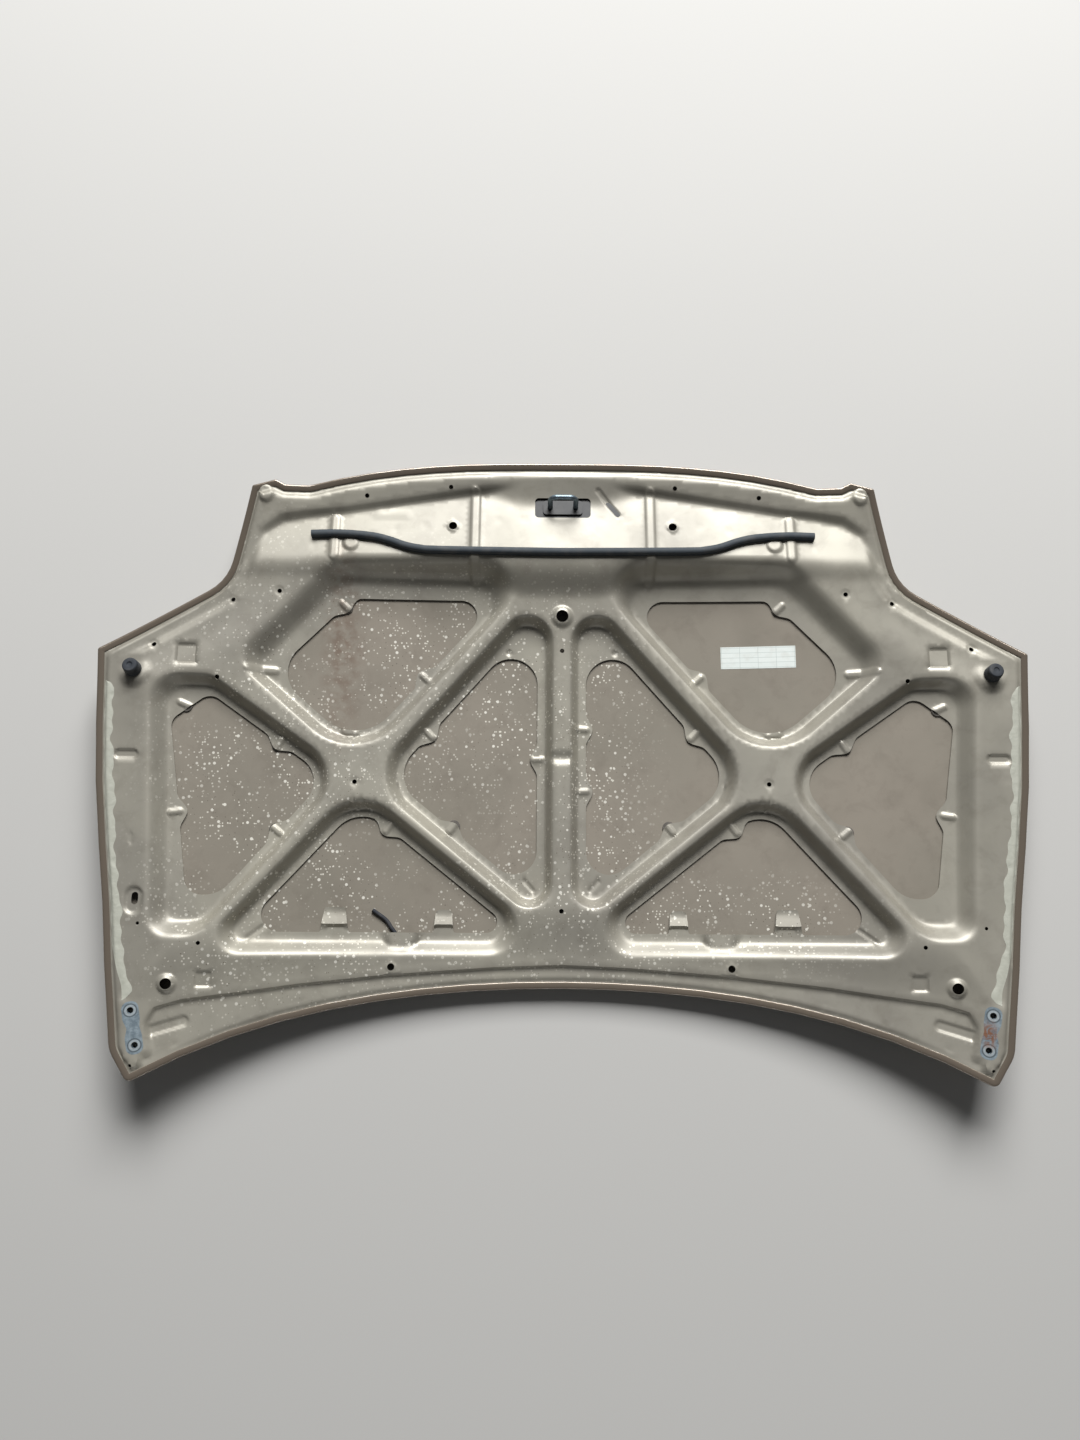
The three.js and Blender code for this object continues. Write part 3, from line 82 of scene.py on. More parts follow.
# Sheets, rim and hem
SKIN_WALL = 0.8
PANEL_WALL = 0.7
SEAT_GAP = 0.3
HEM_GAP = 0.5
RIM_ROUND = 5
RIM_HEIGHT_ENDS = 8
RIM_HEIGHT_SIDES = 11
RIM_GROWS_FROM_X = 440
RIM_GROWS_OVER = 190
HEM_WIDTH = 9.5
PANEL_EDGE_INSET = 2.4
PANEL_FOLD_INSET = HEM_WIDTH + 2

# Levels of the inner panel above the middle of the skin sheet
FLANGE_RISE = 3.2
LAND_RISE = 25
SIDE_LAND_RISE = 13.5
SIDE_LAND_WIDTH = 105
REAR_LEDGE_RISE = 9
REAR_STEP_WIDTH = 7
REAR_LAND_RISE = 15.5
REAR_LAND_WIDTH = 85
NOTCH_LEDGE_RISE = 16
NOTCH_LEDGE_WIDTH = 30
NOTCH_STEP = 4.5
NOTCH_STEP_WIDTH = 12
NOTCH_LAND_WIDTH = 58
SHELF_REAR_Y = 290
SHELF_FLANK = 38
MIDDLE_FLANK = 26
SHELF_Z = 60
SHELF_SLOPE = math.tan(math.radians(7.5))
SHELF_LEAST_RISE = 5
SHELF_MIDDLE_RISE = 13
SHELF_BLEND = 4
STRIP_RISE = 14
STRIP_FLANK = 14
STRIP_START_X = 50
STRIP_START_FADE = 80
STRIP_REAR_REACH = 55
STRIP_REAR_FADE = 50
EDGE_BLEND = 6
FRONT_EDGE_BLEND = 12

# Fittings
HINGE = (614, -426)
HINGE_LEAN = math.radians(12)
HINGE_PAD = (26, 76)
HINGE_SLOPE_SPAN = (12, 24)
HINGE_PITCH = 49
HINGE_HOLE = 9
HINGE_HOLES = [
    (
        HINGE[0] + end * math.sin(HINGE_LEAN) * HINGE_PITCH / 2,
        HINGE[1] + end * math.cos(HINGE_LEAN) * HINGE_PITCH / 2,
    )
    for end in (-1, 1)
]
BOLT_RING = 19.4
BOLT_FACE = 15.6
STOP = (652, 100)
STOP_LEAN = math.radians(10)
STOP_DIAMETER = 25
STOP_HEIGHT = 19
STOP_SEAT_RISE = 2
STOP_SEAT_MARGIN = 4.5
SEAT_FLANK = 8
WINDOW = (88, 33)
WINDOW_Y = 371
WINDOW_ROUND = 6
STRIKER_WIRE = 8
STRIKER_SPAN = 40
STRIKER_HEIGHT = 37
STRIKER_BASE_WALL = 3
STRIKER_BEND = 11
BEND_STEPS = 12
SEAL_WIDTH = 11.5
SEAL_HEIGHT = 10
LABEL_SIZE = (117, 35)
LABEL_PLACE = (310, 139)
LABEL_TURN = math.radians(1)
LABEL_WALL = 0.2
LABEL_LIFT = 0.25
LABEL_ROWS = 9
LABEL_COLUMNS = 27
HOSE_DIAMETER = 6
MASTIC_DIAMETER = 22
MASTIC_HEIGHT = 2.3
DAB_SEED = 4

# Fineness of the sheets
PANEL_STEP = 6
SKIN_STEP = 18


def smooth(value):
    value = np.clip(value, 0, 1)
    return value * value * (3 - 2 * value)


def soft_max(a, b, width):
    blend = np.maximum(width - np.abs(a - b), 0) / width
    return np.maximum(a, b) + blend * blend * width / 4


def skin_height(x, y):
    """Height of the middle of the skin sheet."""
    across = x * x / (2 * LATERAL_RADIUS) + SIDE_ROLL * (np.abs(x) / HALF_WIDTH) ** 6
    front = y * y / (2 * FRONT_RADIUS) + FRONT_ROLL * (y / FRONT_REACH) ** 4
    return across + np.where(y > 0, front, y * y / (2 * REAR_RADIUS))


def rear_edge_y(x):
    share = x / TIP_X
    return -REAR_REACH - (TIP_REACH - REAR_REACH) * (0.7 * share**2 + 0.3 * share**4)


def front_edge_y(x):
    return FRONT_REACH - FRONT_FALL * (x / FRONT_FALL_X) ** 2.8


# Corners are (x, y, round); the right half runs from the middle of the rear edge round to the front
REAR_EDGE = [(TIP_X * i / 9, rear_edge_y(TIP_X * i / 9), 0) for i in range(9)]
TIP = (TIP_X, -TIP_REACH, 10)
SIDE_EDGE = [
    (645, -457, 50), (663, -340, 0), (674, -250, 0), (687, -160, 0), (698, -70, 0), (704, 20, 0),
]
SIDE_CORNER = (HALF_WIDTH, SIDE_CORNER_Y, 5)
NOTCH_CORNER = (525, 249, 80)
EAR = [(*FRONT_CORNER, 5), (452, 408.5, 5), (437, 401.5, 0)]
FRONT_EDGE = [(50 * i, front_edge_y(50 * i), 0) for i in range(8, -1, -1)]
RIGHT_OUTLINE = [*REAR_EDGE, TIP, *SIDE_EDGE, SIDE_CORNER, NOTCH_CORNER, *EAR, *FRONT_EDGE]
OUTLINE = RIGHT_OUTLINE + [(-x, y, r) for x, y, r in reversed(RIGHT_OUTLINE) if x > 0]


def rounded_loop(corners, inset=0.0, step=6.0, arc_step=math.radians(9)):
    """Counter-clockwise corner list, moved in by an inset, with its corners rounded."""
    place = [Vector((c[0], c[1])) for c in corners]
    count = len(place)
    along = [(place[(i + 1) % count] - place[i]).normalized() for i in range(count)]
    inward = [Vector((-d.y, d.x)) for d in along]
    moved = []
    for i, point in enumerate(place):
        reach = inset / (1 + inward[i - 1].dot(inward[i]))
        moved.append(point + reach * (inward[i - 1] + inward[i]))
    arcs = []
    for i, corner in enumerate(corners):
        turn = math.atan2(along[i - 1].cross(along[i]), along[i - 1].dot(along[i]))
        if corner[2] == 0:
            arcs.append([moved[i]])
            continue
        wanted = max(corner[2] - inset, 1.5) if turn > 0 else corner[2] + inset
        room = 0.49 * min((moved[i] - moved[i - 1]).length, (moved[i] - moved[(i + 1) % count]).length)
        cut = min(wanted * math.tan(abs(turn) / 2), room)
        radius = cut / math.tan(abs(turn) / 2)
        start = moved[i] - along[i - 1] * cut
        centre = start + inward[i - 1] * radius * math.copysign(1, turn)
        steps = max(2, math.ceil(abs(turn) / arc_step))
        spoke = start - centre
        arcs.append([centre + Matrix.Rotation(turn * k / steps, 2) @ spoke for k in range(steps + 1)])
    loop = []
    for i, arc in enumerate(arcs):
        start, end = arc[-1], arcs[(i + 1) % count][0]
        pieces = max(1, round((place[(i + 1) % count] - place[i]).length / step))
        loop += arc + [start.lerp(end, k / pieces) for k in range(1, pieces)]
    return np.array([tuple(p) for p in loop])


def widened(corners, offsets, more_round):
    """Moves edge i of a corner list out by offsets[i] and adds to the rounds."""
    place = [Vector((c[0], c[1])) for c in corners]
    count = len(place)
    along = [(place[(i + 1) % count] - place[i]).normalized() for i in range(count)]
    result = []
    for i, point in enumerate(place):
        before, after = along[i - 1], along[i]
        shift = (before * offsets[i] - after * offsets[i - 1]) / before.cross(after)
        result.append((point.x + shift.x, point.y + shift.y, corners[i][2] + more_round))
    return result


def distance(path, x, y, closed=False):
    path = np.asarray(path, float)[:, :2]
    ends = np.roll(path, -1, axis=0)
    if not closed:
        path, ends = path[:-1], ends[:-1]
    least = np.full(np.shape(x), np.inf)
    for (ax, ay), (bx, by) in zip(path, ends):
        dx, dy = bx - ax, by - ay
        share = np.clip(((x - ax) * dx + (y - ay) * dy) / (dx * dx + dy * dy), 0, 1)
        least = np.minimum(least, np.hypot(x - ax - share * dx, y - ay - share * dy))
    return least


def inside(loop, x, y):
    loop = np.asarray(loop, float)[:, :2]
    result = np.zeros(np.shape(x), bool)
    for (ax, ay), (bx, by) in zip(loop, np.roll(loop, 1, axis=0)):
        if ay != by:
            result ^= ((ay > y) != (by > y)) & (x < (bx - ax) * (y - ay) / (by - ay) + ax)
    return result


# Tongues that reach from the rear rib into the rear cut-outs and come down on the skin:
# place across, half widths at base and tip, reach of the tip and its round
REAR_RIB_Y = -291
TONGUES = [(177.5, 15, 12, -257, 7), (341, 21, 15.5, -254, 3)]
TONGUE_BASE_Y = -282
TONGUE_STEP = 5
TONGUE_LIP = 1.6
TONGUE_CORNERS = [
    corner
    for x, base, tip, tip_y, round_ in TONGUES
    for corner in (
        (x - base, REAR_RIB_Y, 3), (x - tip, tip_y, round_),
        (x + tip, tip_y, round_), (x + base, REAR_RIB_Y, 3),
    )
]

# Pockets of one half between the ribs. Lobes are (x, y, how far the edge bulges over a pad)
POCKETS = {
    "front": {
        "opening": [(317, -10, 70), (453, 106, 50), (332, 228, 40), (104, 228, 25)],
        "foot": [(317, -22, 78), (475, 114, 22), (348, 250, 50), (75, 250, 30)],
        "flanks": [18, 36, SHELF_FLANK, 18],
        "crest_round": 18,
        "lobes": [(342, 214, 12), (216, 103, 13)],
    },
    "side": {
        "opening": [(514, -237, 45), (562, -237, 28), (601, 28, 22), (545, 72, 22), (363, -56, 42)],
        "foot": [(533, -272, 35), (584, -272, 16), (606, 80, 42), (541, 80, 25), (350, -54, 50)],
        "flanks": [29, 27, 20, 18, 18],
        "crest_round": 16,
        "lobes": [(436, -138, 12), (583, -113, 13), (580, 52, 0), (439, -7, 12)],
    },
    "rear": {
        "opening": [
            (66, REAR_RIB_Y, 27), *TONGUE_CORNERS, (483, REAR_RIB_Y, 30), (311.5, -98, 50),
        ],
        "foot": [(40, -301, 26), (504, -301, 15), (312.6, -85.5, 58)],
        "flanks": [26, 17, 17],
        "crest_round": 18,
        "lobes": [(267, -135, 13)],
    },
    "centre": {
        "opening": [(38, -241, 35), (267, -56, 50), (38, 205, 42)],
        "foot": [(27, -262, 21), (280, -57, 58), (27, 231, 27)],
        "flanks": [17, 17, 15],
        "crest_round": 16,
        "lobes": [(206, 12, 12), (166, -131, 12)],
    },
}
SPINE_LOBES = {1: [(34, 23, 11), (34, -75, 11)], -1: [(39, -25, 11)]}
LOBE_HALF_LENGTH = 27
BAY = (240, -291)
BAY_RISE = 10
BAY_FLOOR_RADIUS = 20
BAY_FLANK = 10
SPINE_HALF = 12
SPINE_DIP_Y = -24
SPINE_DIP_HALF = 13
SPINE_DIP = 4

for pocket in POCKETS.values():
    pocket["foot_loop"] = rounded_loop(pocket["foot"], step=20)
    pocket["crest"] = widened(pocket["foot"], pocket["flanks"], pocket["crest_round"])
    pocket["crest_loop"] = rounded_loop(pocket["crest"], step=20)

REAR_PATH = [*REAR_EDGE, TIP]
SIDE_PATH = [TIP, *SIDE_EDGE, SIDE_CORNER]
FRONT_PATH = [*EAR, *FRONT_EDGE]
AROUND_NOTCH = [SIDE_CORNER, NOTCH_CORNER, EAR[0], (HALF_WIDTH, FRONT_CORNER[1], 0)]
NOTCH_PATH = [
    p for p in rounded_loop(AROUND_NOTCH, step=30) if p[0] - p[1] < HALF_WIDTH - SIDE_CORNER_Y + 1
]

# Line of the step between the ledge along the rear edge and the land
REAR_STEP = [
    (0, -342), (100, -346), (255, -357), (390, -371), (470, -382), (550, -392), (585, -402),
    (597, -425), (597, -512),
]
REAR_LEDGE = [*REAR_STEP, (0, -512)]

# Line between the latch shelf and the raised strip ahead of it
STRIP_LINE = [
    (0, 412), (76, 408), (150, 396), (254, 378.5), (340, 364), (400, 357), (440, 350), (470, 328),
    (488, 275), (497, 250),
]
BEHIND_STRIP = [*STRIP_LINE, (540, 120), (540, -TIP_REACH), (0, -TIP_REACH)]


def rim_height(x):
    share = smooth((np.abs(x) - RIM_GROWS_FROM_X) / RIM_GROWS_OVER)
    return RIM_HEIGHT_ENDS + (RIM_HEIGHT_SIDES - RIM_HEIGHT_ENDS) * share


def hem_level(x):
    return rim_height(x) - SKIN_WALL / 2 - HEM_GAP - PANEL_WALL / 2


def shelf_height(y):
    return SHELF_Z + SHELF_SLOPE * (SHELF_REAR_Y - y)


def land_rise(x, y):
    """Rise of the land over the skin, without pockets and seats."""
    ax = np.abs(x)
    rear, side = distance(REAR_PATH, ax, y), distance(SIDE_PATH, ax, y)
    notch, front = distance(NOTCH_PATH, ax, y), distance(FRONT_PATH, ax, y)
    from_step = distance(REAR_STEP, ax, y) * np.where(inside(REAR_LEDGE, ax, y), -1, 1)
    by_side = SIDE_LAND_RISE + (LAND_RISE - SIDE_LAND_RISE) * smooth(side / SIDE_LAND_WIDTH)
    by_rear = (
        REAR_LEDGE_RISE
        + (REAR_LAND_RISE - REAR_LEDGE_RISE) * smooth(from_step / REAR_STEP_WIDTH)
        + (LAND_RISE - REAR_LAND_RISE) * smooth((from_step - REAR_STEP_WIDTH) / REAR_LAND_WIDTH)
    )
    from_ledge = notch - NOTCH_LEDGE_WIDTH
    beyond = (from_ledge - NOTCH_STEP_WIDTH) / NOTCH_LAND_WIDTH
    by_notch = (
        NOTCH_LEDGE_RISE
        + NOTCH_STEP * smooth(from_ledge / NOTCH_STEP_WIDTH)
        + (LAND_RISE - NOTCH_LEDGE_RISE - NOTCH_STEP) * smooth(beyond)
    )
    land = np.minimum(np.minimum(by_side, by_rear), by_notch)

    middle = 1 - smooth((ax - STRIP_START_X) / STRIP_START_FADE)
    least = SHELF_LEAST_RISE + (SHELF_MIDDLE_RISE - SHELF_LEAST_RISE) * middle
    shelf = soft_max(shelf_height(y) - skin_height(x, y), least, SHELF_BLEND)
    flank = SHELF_FLANK + MIDDLE_FLANK * middle
    land = land + (shelf - land) * smooth((y - SHELF_REAR_Y + flank) / flank)

    from_strip = distance(STRIP_LINE, ax, y) * np.where(inside(BEHIND_STRIP, ax, y), -1, 1)
    strip = smooth(from_strip / STRIP_FLANK + 0.5) * (1 - middle)
    strip = strip * smooth((y - SHELF_REAR_Y + STRIP_REAR_REACH) / STRIP_REAR_FADE)
    land = land + (STRIP_RISE - land) * strip

    nearest = np.minimum(np.minimum(rear, side), np.minimum(notch, front))
    blend = np.where((front < notch) & (front < side), FRONT_EDGE_BLEND, EDGE_BLEND)
    hem = hem_level(x)
    return hem + (land - hem) * smooth((nearest - PANEL_FOLD_INSET) / blend)


# Pressed details, as bars with round ends: start, end, half width, flank width, rise
MIRRORED_BARS = [
    ((0, 198), (0, 198), 10, 9, 5),
    ((573, -365), (573, -365), 8.5, 7, 5),
    ((138, 258), (138, 396), 5, 4, 2.6),
    ((358, 288), (358, 350), 5, 4, 2.4),
    ((332, 309), (332, 309), 9, 5, 2.4),
    ((173, 339), (173, 339), 8.2, 1.6, 1.1),
    ((448, 109), (485, 111), 3, 4.5, 2.2),
    ((84, 145), (84, 145), 3, 3, -1.6),
    ((322, 14), (338, 16), 3, 3.5, 2),
    ((44, -227), (56, -213), 2, 2.4, -1.6),
    ((445, -283), (468, -300), 2, 2.6, -1.8),
    ((466, 383), (466, 388), 8, 5, 3.2),
    ((645, -29), (667, -29), 4.5, 4, -3),
    ((548, -418), (592, -431), 5, 4, -2.4),
    ((253, -341), (253, -341), 7, 2, 0.8),
    ((317, -65), (317, -65), 6, 2, -0.7),
    ((626, 141), (626, 141), 6, 2, -0.7),
    ((512, 216), (512, 216), 6, 2, -0.7),
    ((441, 231), (441, 231), 6, 2, -0.7),
]
RIGHT_BARS = [((56, 399), (87, 360), 2.5, 3, -1.8)]
LEFT_BARS = [
    ((629, -239.5), (629, -252.5), 9.5, 6, -3.2),
    ((640, -160), (640, -150), 2.2, 1.5, -0.8),
]

# Pressed tiles: middle, half width and half length, flank width, rise
MIRRORED_TILES = [
    ((578, 129), (13, 13.5), 4, -3.4),
    ((523, -359), (9.5, 9), 3.5, -2.8),
]
LEFT_TILES = [((270, 359.5), (27, 6.5), 1.2, 0.5)]
SPOT_WELD_RADIUS = 3.2
SPOT_WELD_FLANK = 1.2
SPOT_WELD_DEPTH = -0.5
SHELF_WELDS = [(x, 352 - 0.0003 * x * x) for x in (62, 100, 215, 262, 300, 392)]
REAR_WELDS = [(x, rear_edge_y(x) + 21) for x in range(60, 560, 83)]
SIDE_WELDS = [(667, -60), (660, -190), (645, -310), (680, 60)]


def bar_rise(bars, x, y):
    rise = np.zeros_like(x)
    for (ax, ay), (bx, by), half, flank, height in bars:
        dx, dy = bx - ax, by - ay
        share = np.clip(((x - ax) * dx + (y - ay) * dy) / max(dx * dx + dy * dy, 1e-9), 0, 1)
        away = np.hypot(x - ax - share * dx, y - ay - share * dy)
        rise += height * (1 - smooth((away - half) / flank))
    return rise


def tile_rise(tiles, x, y):
    rise = np.zeros_like(x)
    for (cx, cy), (half_x, half_y), flank, height in tiles:
        away = np.hypot(np.maximum(np.abs(x - cx) - half_x, 0), np.maximum(np.abs(y - cy) - half_y, 0))
        rise += height * (1 - smooth(away / flank))
    return rise


# Bead of a lobe: how far it reaches into and out of the lobe, half width, flank width, rise
LOBE_BAR_REACH = (5, 9)
LOBE_BAR_SIZE = (2.4, 3.4, 2.3)


def lobe_bar(pocket, lobe):
    """A bead from the edge of a lobe to the foot of the flank behind it."""
    foot = rounded_loop(pocket["foot"], step=3)
    x, y, _ = lobe
    nearest = foot[np.argmin(np.hypot(foot[:, 0] - x, foot[:, 1] - y))]
    out = (nearest - [x, y]) / np.linalg.norm(nearest - [x, y])
    start, end = np.array([x, y]) - LOBE_BAR_REACH[0] * out, np.array([x, y]) + LOBE_BAR_REACH[1] * out
    return (tuple(start), tuple(end), *LOBE_BAR_SIZE)


MIRRORED_BARS += [lobe_bar(pocket, lobe) for pocket in POCKETS.values() for lobe in pocket["lobes"]]
RIGHT_BARS += [lobe_bar(POCKETS["centre"], lobe) for lobe in SPINE_LOBES[1]]
LEFT_BARS += [lobe_bar(POCKETS["centre"], lobe) for lobe in SPINE_LOBES[-1]]


def detail_rise(x, y):
    ax = np.abs(x)
    welds = [
        (place, place, SPOT_WELD_RADIUS, SPOT_WELD_FLANK, SPOT_WELD_DEPTH)
        for place in SHELF_WELDS + REAR_WELDS + SIDE_WELDS
    ]
    rise = bar_rise(MIRRORED_BARS + welds, ax, y) + tile_rise(MIRRORED_TILES, ax, y)
    rise += np.where(x > 0, bar_rise(RIGHT_BARS, ax, y), bar_rise(LEFT_BARS, ax, y))
    return rise + np.where(x < 0, tile_rise(LEFT_TILES, ax, y), 0)


def tongue_rise(x, y):
    """A tongue steps up from the flange and slopes down to the skin, with its tip turned up."""
    rise = np.zeros_like(x)
    for middle, base, _, tip_y, _ in TONGUES:
        across = np.abs(np.abs(x) - middle)
        share = np.clip((y - TONGUE_BASE_Y) / (tip_y - TONGUE_BASE_Y), 0, 1)
        slope = TONGUE_STEP * smooth((y - TONGUE_BASE_Y + 2) / 2.5) * (1 - share)
        lip = TONGUE_LIP * smooth((y - tip_y + 5) / 4)
        on = (across < base + 2) & (y > TONGUE_BASE_Y - 3) & (y < tip_y + 2)
        rise += np.where(on, slope + lip, 0)
    return rise


def pressed_z(x, y):
    """Height of the pressed inner panel, without its flat seats."""
    ax = np.abs(x)
    share = np.ones_like(x)
    for pocket in POCKETS.values():
        from_foot = distance(pocket["foot_loop"], ax, y, True)
        to_crest = distance(pocket["crest_loop"], ax, y, True)
        part = smooth(from_foot / (from_foot + to_crest + 1e-9))
        part = np.where(inside(pocket["foot_loop"], ax, y), 0, part)
        share *= np.where(inside(pocket["crest_loop"], ax, y), part, 1)
    dip = 1 - smooth(np.abs(y - SPINE_DIP_Y) / SPINE_DIP_HALF)
    dip = dip * (1 - smooth(ax / SPINE_HALF - 1))
    land = land_rise(x, y) - SPINE_DIP * dip
    rise = FLANGE_RISE + (land - FLANGE_RISE) * share
    bay = 1 - smooth((np.hypot(ax - BAY[0], y - BAY[1]) - BAY_FLOOR_RADIUS) / BAY_FLANK)
    rise = rise + (BAY_RISE - rise) * bay
    return skin_height(x, y) + rise + tongue_rise(x, y)


def pressed_point(x, y):
    return float(pressed_z(np.array([float(x)]), np.array([float(y)]))[0])


def hinge_normal():
    """Normal of the pressed panel round the hinge, over the length of the pad."""
    x, y = HINGE
    across, along = HINGE_SLOPE_SPAN
    slope_x = (pressed_point(x + across, y) - pressed_point(x - across, y)) / (2 * across)
    slope_y = (pressed_point(x, y + along) - pressed_point(x, y - along)) / (2 * along)
    return Vector((-slope_x, -slope_y, 1)).normalized()


HINGE_NORMAL = hinge_normal()
HINGE_POINT = Vector((*HINGE, pressed_point(*HINGE)))
STOP_NORMAL = Vector((0, math.sin(STOP_LEAN), math.cos(STOP_LEAN)))
STOP_POINT = Vector((*STOP, pressed_point(*STOP) + STOP_SEAT_RISE))


def outside_hinge_pad(x, y):
    dx, dy = x - HINGE[0], y - HINGE[1]
    across = np.abs(dx * math.cos(HINGE_LEAN) - dy * math.sin(HINGE_LEAN))
    along = np.abs(dx * math.sin(HINGE_LEAN) + dy * math.cos(HINGE_LEAN))
    return np.hypot(np.maximum(across - HINGE_PAD[0] / 2, 0), np.maximum(along - HINGE_PAD[1] / 2, 0))


def panel_z(x, y):
    """Height of the middle of the inner panel's sheet, with its details and flat seats."""
    x, y = np.asarray(x, float), np.asarray(y, float)
    ax = np.abs(x)
    z = pressed_z(x, y) + detail_rise(x, y)
    around_stop = np.maximum(np.hypot(ax - STOP[0], y - STOP[1]) - STOP_DIAMETER / 2 - STOP_SEAT_MARGIN, 0)
    for point, normal, away in (
        (HINGE_POINT, HINGE_NORMAL, outside_hinge_pad(ax, y)),
        (STOP_POINT, STOP_NORMAL, around_stop),
    ):
        plane = point.z - (normal.x * (ax - point.x) + normal.y * (y - point.y)) / normal.z
        z = z + (plane - z) * (1 - smooth(away / SEAT_FLANK))
    return z


# The plan places go into the frame by the box that the bonnet's outline fills
def frame_shift():
    low, high = CAD_BOX
    loop = rounded_loop(OUTLINE, step=40, arc_step=math.radians(22))
    middle = (loop[:, 1].min() + loop[:, 1].max()) / 2
    return Vector((0, (low[1] + high[1]) / 2 / MM - middle, SKIN_WALL / 2))


SHIFT = frame_shift()


def to_frame(points):
    return [tuple((Vector(p) + SHIFT) * MM) for p in points]


def new_object(name, vertices, faces, material, modifiers=()):
    """A piece with its modifiers turned to mesh, smooth apart from its sharp edges."""
    mesh = bpy.data.meshes.new(name)
    mesh.from_pydata(vertices, [], faces)
    mesh.materials.append(material)
    piece = bpy.data.objects.new(name, mesh)
    bpy.context.scene.collection.objects.link(piece)
    for kind, settings in modifiers:
        modifier = piece.modifiers.new(kind.title(), kind)
        for key, value in settings.items():
            setattr(modifier, key, value)
    if modifiers:
        bake(piece)
    piece.data.shade_smooth()
    piece.data.set_sharp_from_angle(angle=math.radians(38))
    return piece


def bake(piece):
    """Turns a piece's modifiers into its plain mesh."""
    graph = bpy.context.evaluated_depsgraph_get()
    mesh = bpy.data.meshes.new_from_object(piece.evaluated_get(graph), depsgraph=graph)
    piece.modifiers.clear()
    piece.data = mesh


def declare(piece, slot_name, *nodes):
    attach(piece, "root")
    if nodes:
        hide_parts(*nodes)
    return piece


def wall(thickness):
    """The modifier that gives a sheet its thickness, half to each side."""
    return ("SOLIDIFY", {"thickness": thickness * MM, "offset": 0.0})


def hand(side):
    return "right" if side > 0 else "left"


def grid_faces(rows, columns):
    """Quads of a grid of points that are listed row by row."""
    corners = [row * columns + k for row in range(rows - 1) for k in range(columns - 1)]
    return [[a, a + 1, a + columns + 1, a + columns] for a in corners]


def search_tree(points):
    tree = KDTree(len(points))
    for index, point in enumerate(points):
        tree.insert((point[0], point[1], 0), index)
    tree.balance()
    return tree


# Materials

NOISE = "ShaderNodeTexNoise"
RANGE = "ShaderNodeMapRange"
MIX = "ShaderNodeMix"
MATH = "ShaderNodeMath"
VECTOR_MATH = "ShaderNodeVectorMath"
BUMP = "ShaderNodeBump"
# Places of the two colours among the inputs of a mix of colours
FIRST, SECOND = 6, 7


def colour(text):
    """sRGB hex to linear."""
    values = [int(text[i:i + 2], 16) / 255 for i in (1, 3, 5)]
    return [v / 12.92 if v <= 0.04045 else ((v + 0.055) / 1.055) ** 2.4 for v in values] + [1.0]


def scale_of(width):
    """Scale of a pattern on Object coordinates with features so many millimetres wide."""
    return 1 / (width * MM)


def set_inputs(tree, node, inputs):
    """Each input takes a socket, a node by its first output in use, an sRGB hex or a value."""
    for name, value in inputs.items():
        if isinstance(value, bpy.types.Node):
            value = next(output for output in value.outputs if output.enabled)
        if isinstance(value, bpy.types.NodeSocket):
            tree.links.new(value, node.inputs[name])
        elif isinstance(value, str) and value.startswith("#"):
            node.inputs[name].default_value = colour(value)
        else:
            node.inputs[name].default_value = value


def add_node(tree, kind, inputs=None, **settings):
    """One node with its settings and links."""
    node = tree.nodes.new(kind)
    for name, value in settings.items():
        setattr(node, name, value)
    set_inputs(tree, node, inputs or {})
    return node


def new_material(name, base, roughness, metallic=0.0):
    material = bpy.data.materials.new(name)
    material.use_nodes = True
    tree = material.node_tree
    shader = tree.nodes["Principled BSDF"]
    set_inputs(tree, shader, {"Base Color": base, "Roughness": roughness, "Metallic": metallic})
    place = add_node(tree, "ShaderNodeTexCoord").outputs["Object"]
    return material, tree, shader, place


def patch(tree, place, centre, radii, soft):
    """1 inside an oval patch, in metres, 0 well outside it."""
    shifted = add_node(tree, VECTOR_MATH, {0: place, 1: centre}, operation="SUBTRACT")
    scaled = add_node(tree, VECTOR_MATH, {0: shifted, 1: radii}, operation="DIVIDE")
    length = add_node(tree, VECTOR_MATH, {0: scaled}, operation="LENGTH")
    fade = {"Value": length.outputs["Value"], "From Min": 1 + soft, "From Max": 1 - soft}
    return add_node(tree, RANGE, fade)


def splashes(tree, place, spacing, share, size):
    """Dried drops: one round spot in some of the cells of a pattern, each a few millimetres wide."""
    cells = add_node(tree, "ShaderNodeTexVoronoi", {"Vector": place, "Scale": scale_of(spacing)})
    spot = add_node(tree, RANGE, {
        "Value": cells.outputs["Distance"], "From Min": size * 0.8, "From Max": size,
        "To Min": 1, "To Max": 0,
    })
    pick = add_node(tree, RANGE, {
        "Value": cells.outputs["Color"], "From Min": 1 - share - 0.01, "From Max": 1 - share,
    })
    return add_node(tree, MATH, {0: spot, 1: pick}, operation="MULTIPLY")


# Middles and radii of the splashed areas, in metres
SPLASHED = (
    ((0.0, -0.225, 0.0), (0.16, 0.11, 1.0)),
    ((-0.36, -0.26, 0.0), (0.2, 0.1, 1.0)),
    ((0.27, -0.25, 0.0), (0.17, 0.06, 1.0)),
    ((-0.45, -0.05, 0.0), (0.14, 0.32, 1.0)),
    ((-0.2, 0.12, 0.0), (0.2, 0.16, 1.0)),
    ((0.02, 0.03, 0.0), (0.1, 0.2, 1.0)),
)
# Middle and radii of the brown run under the front edge, in metres
RUN = ((-0.346, 0.19, 0.0), (0.022, 0.12, 1.0))


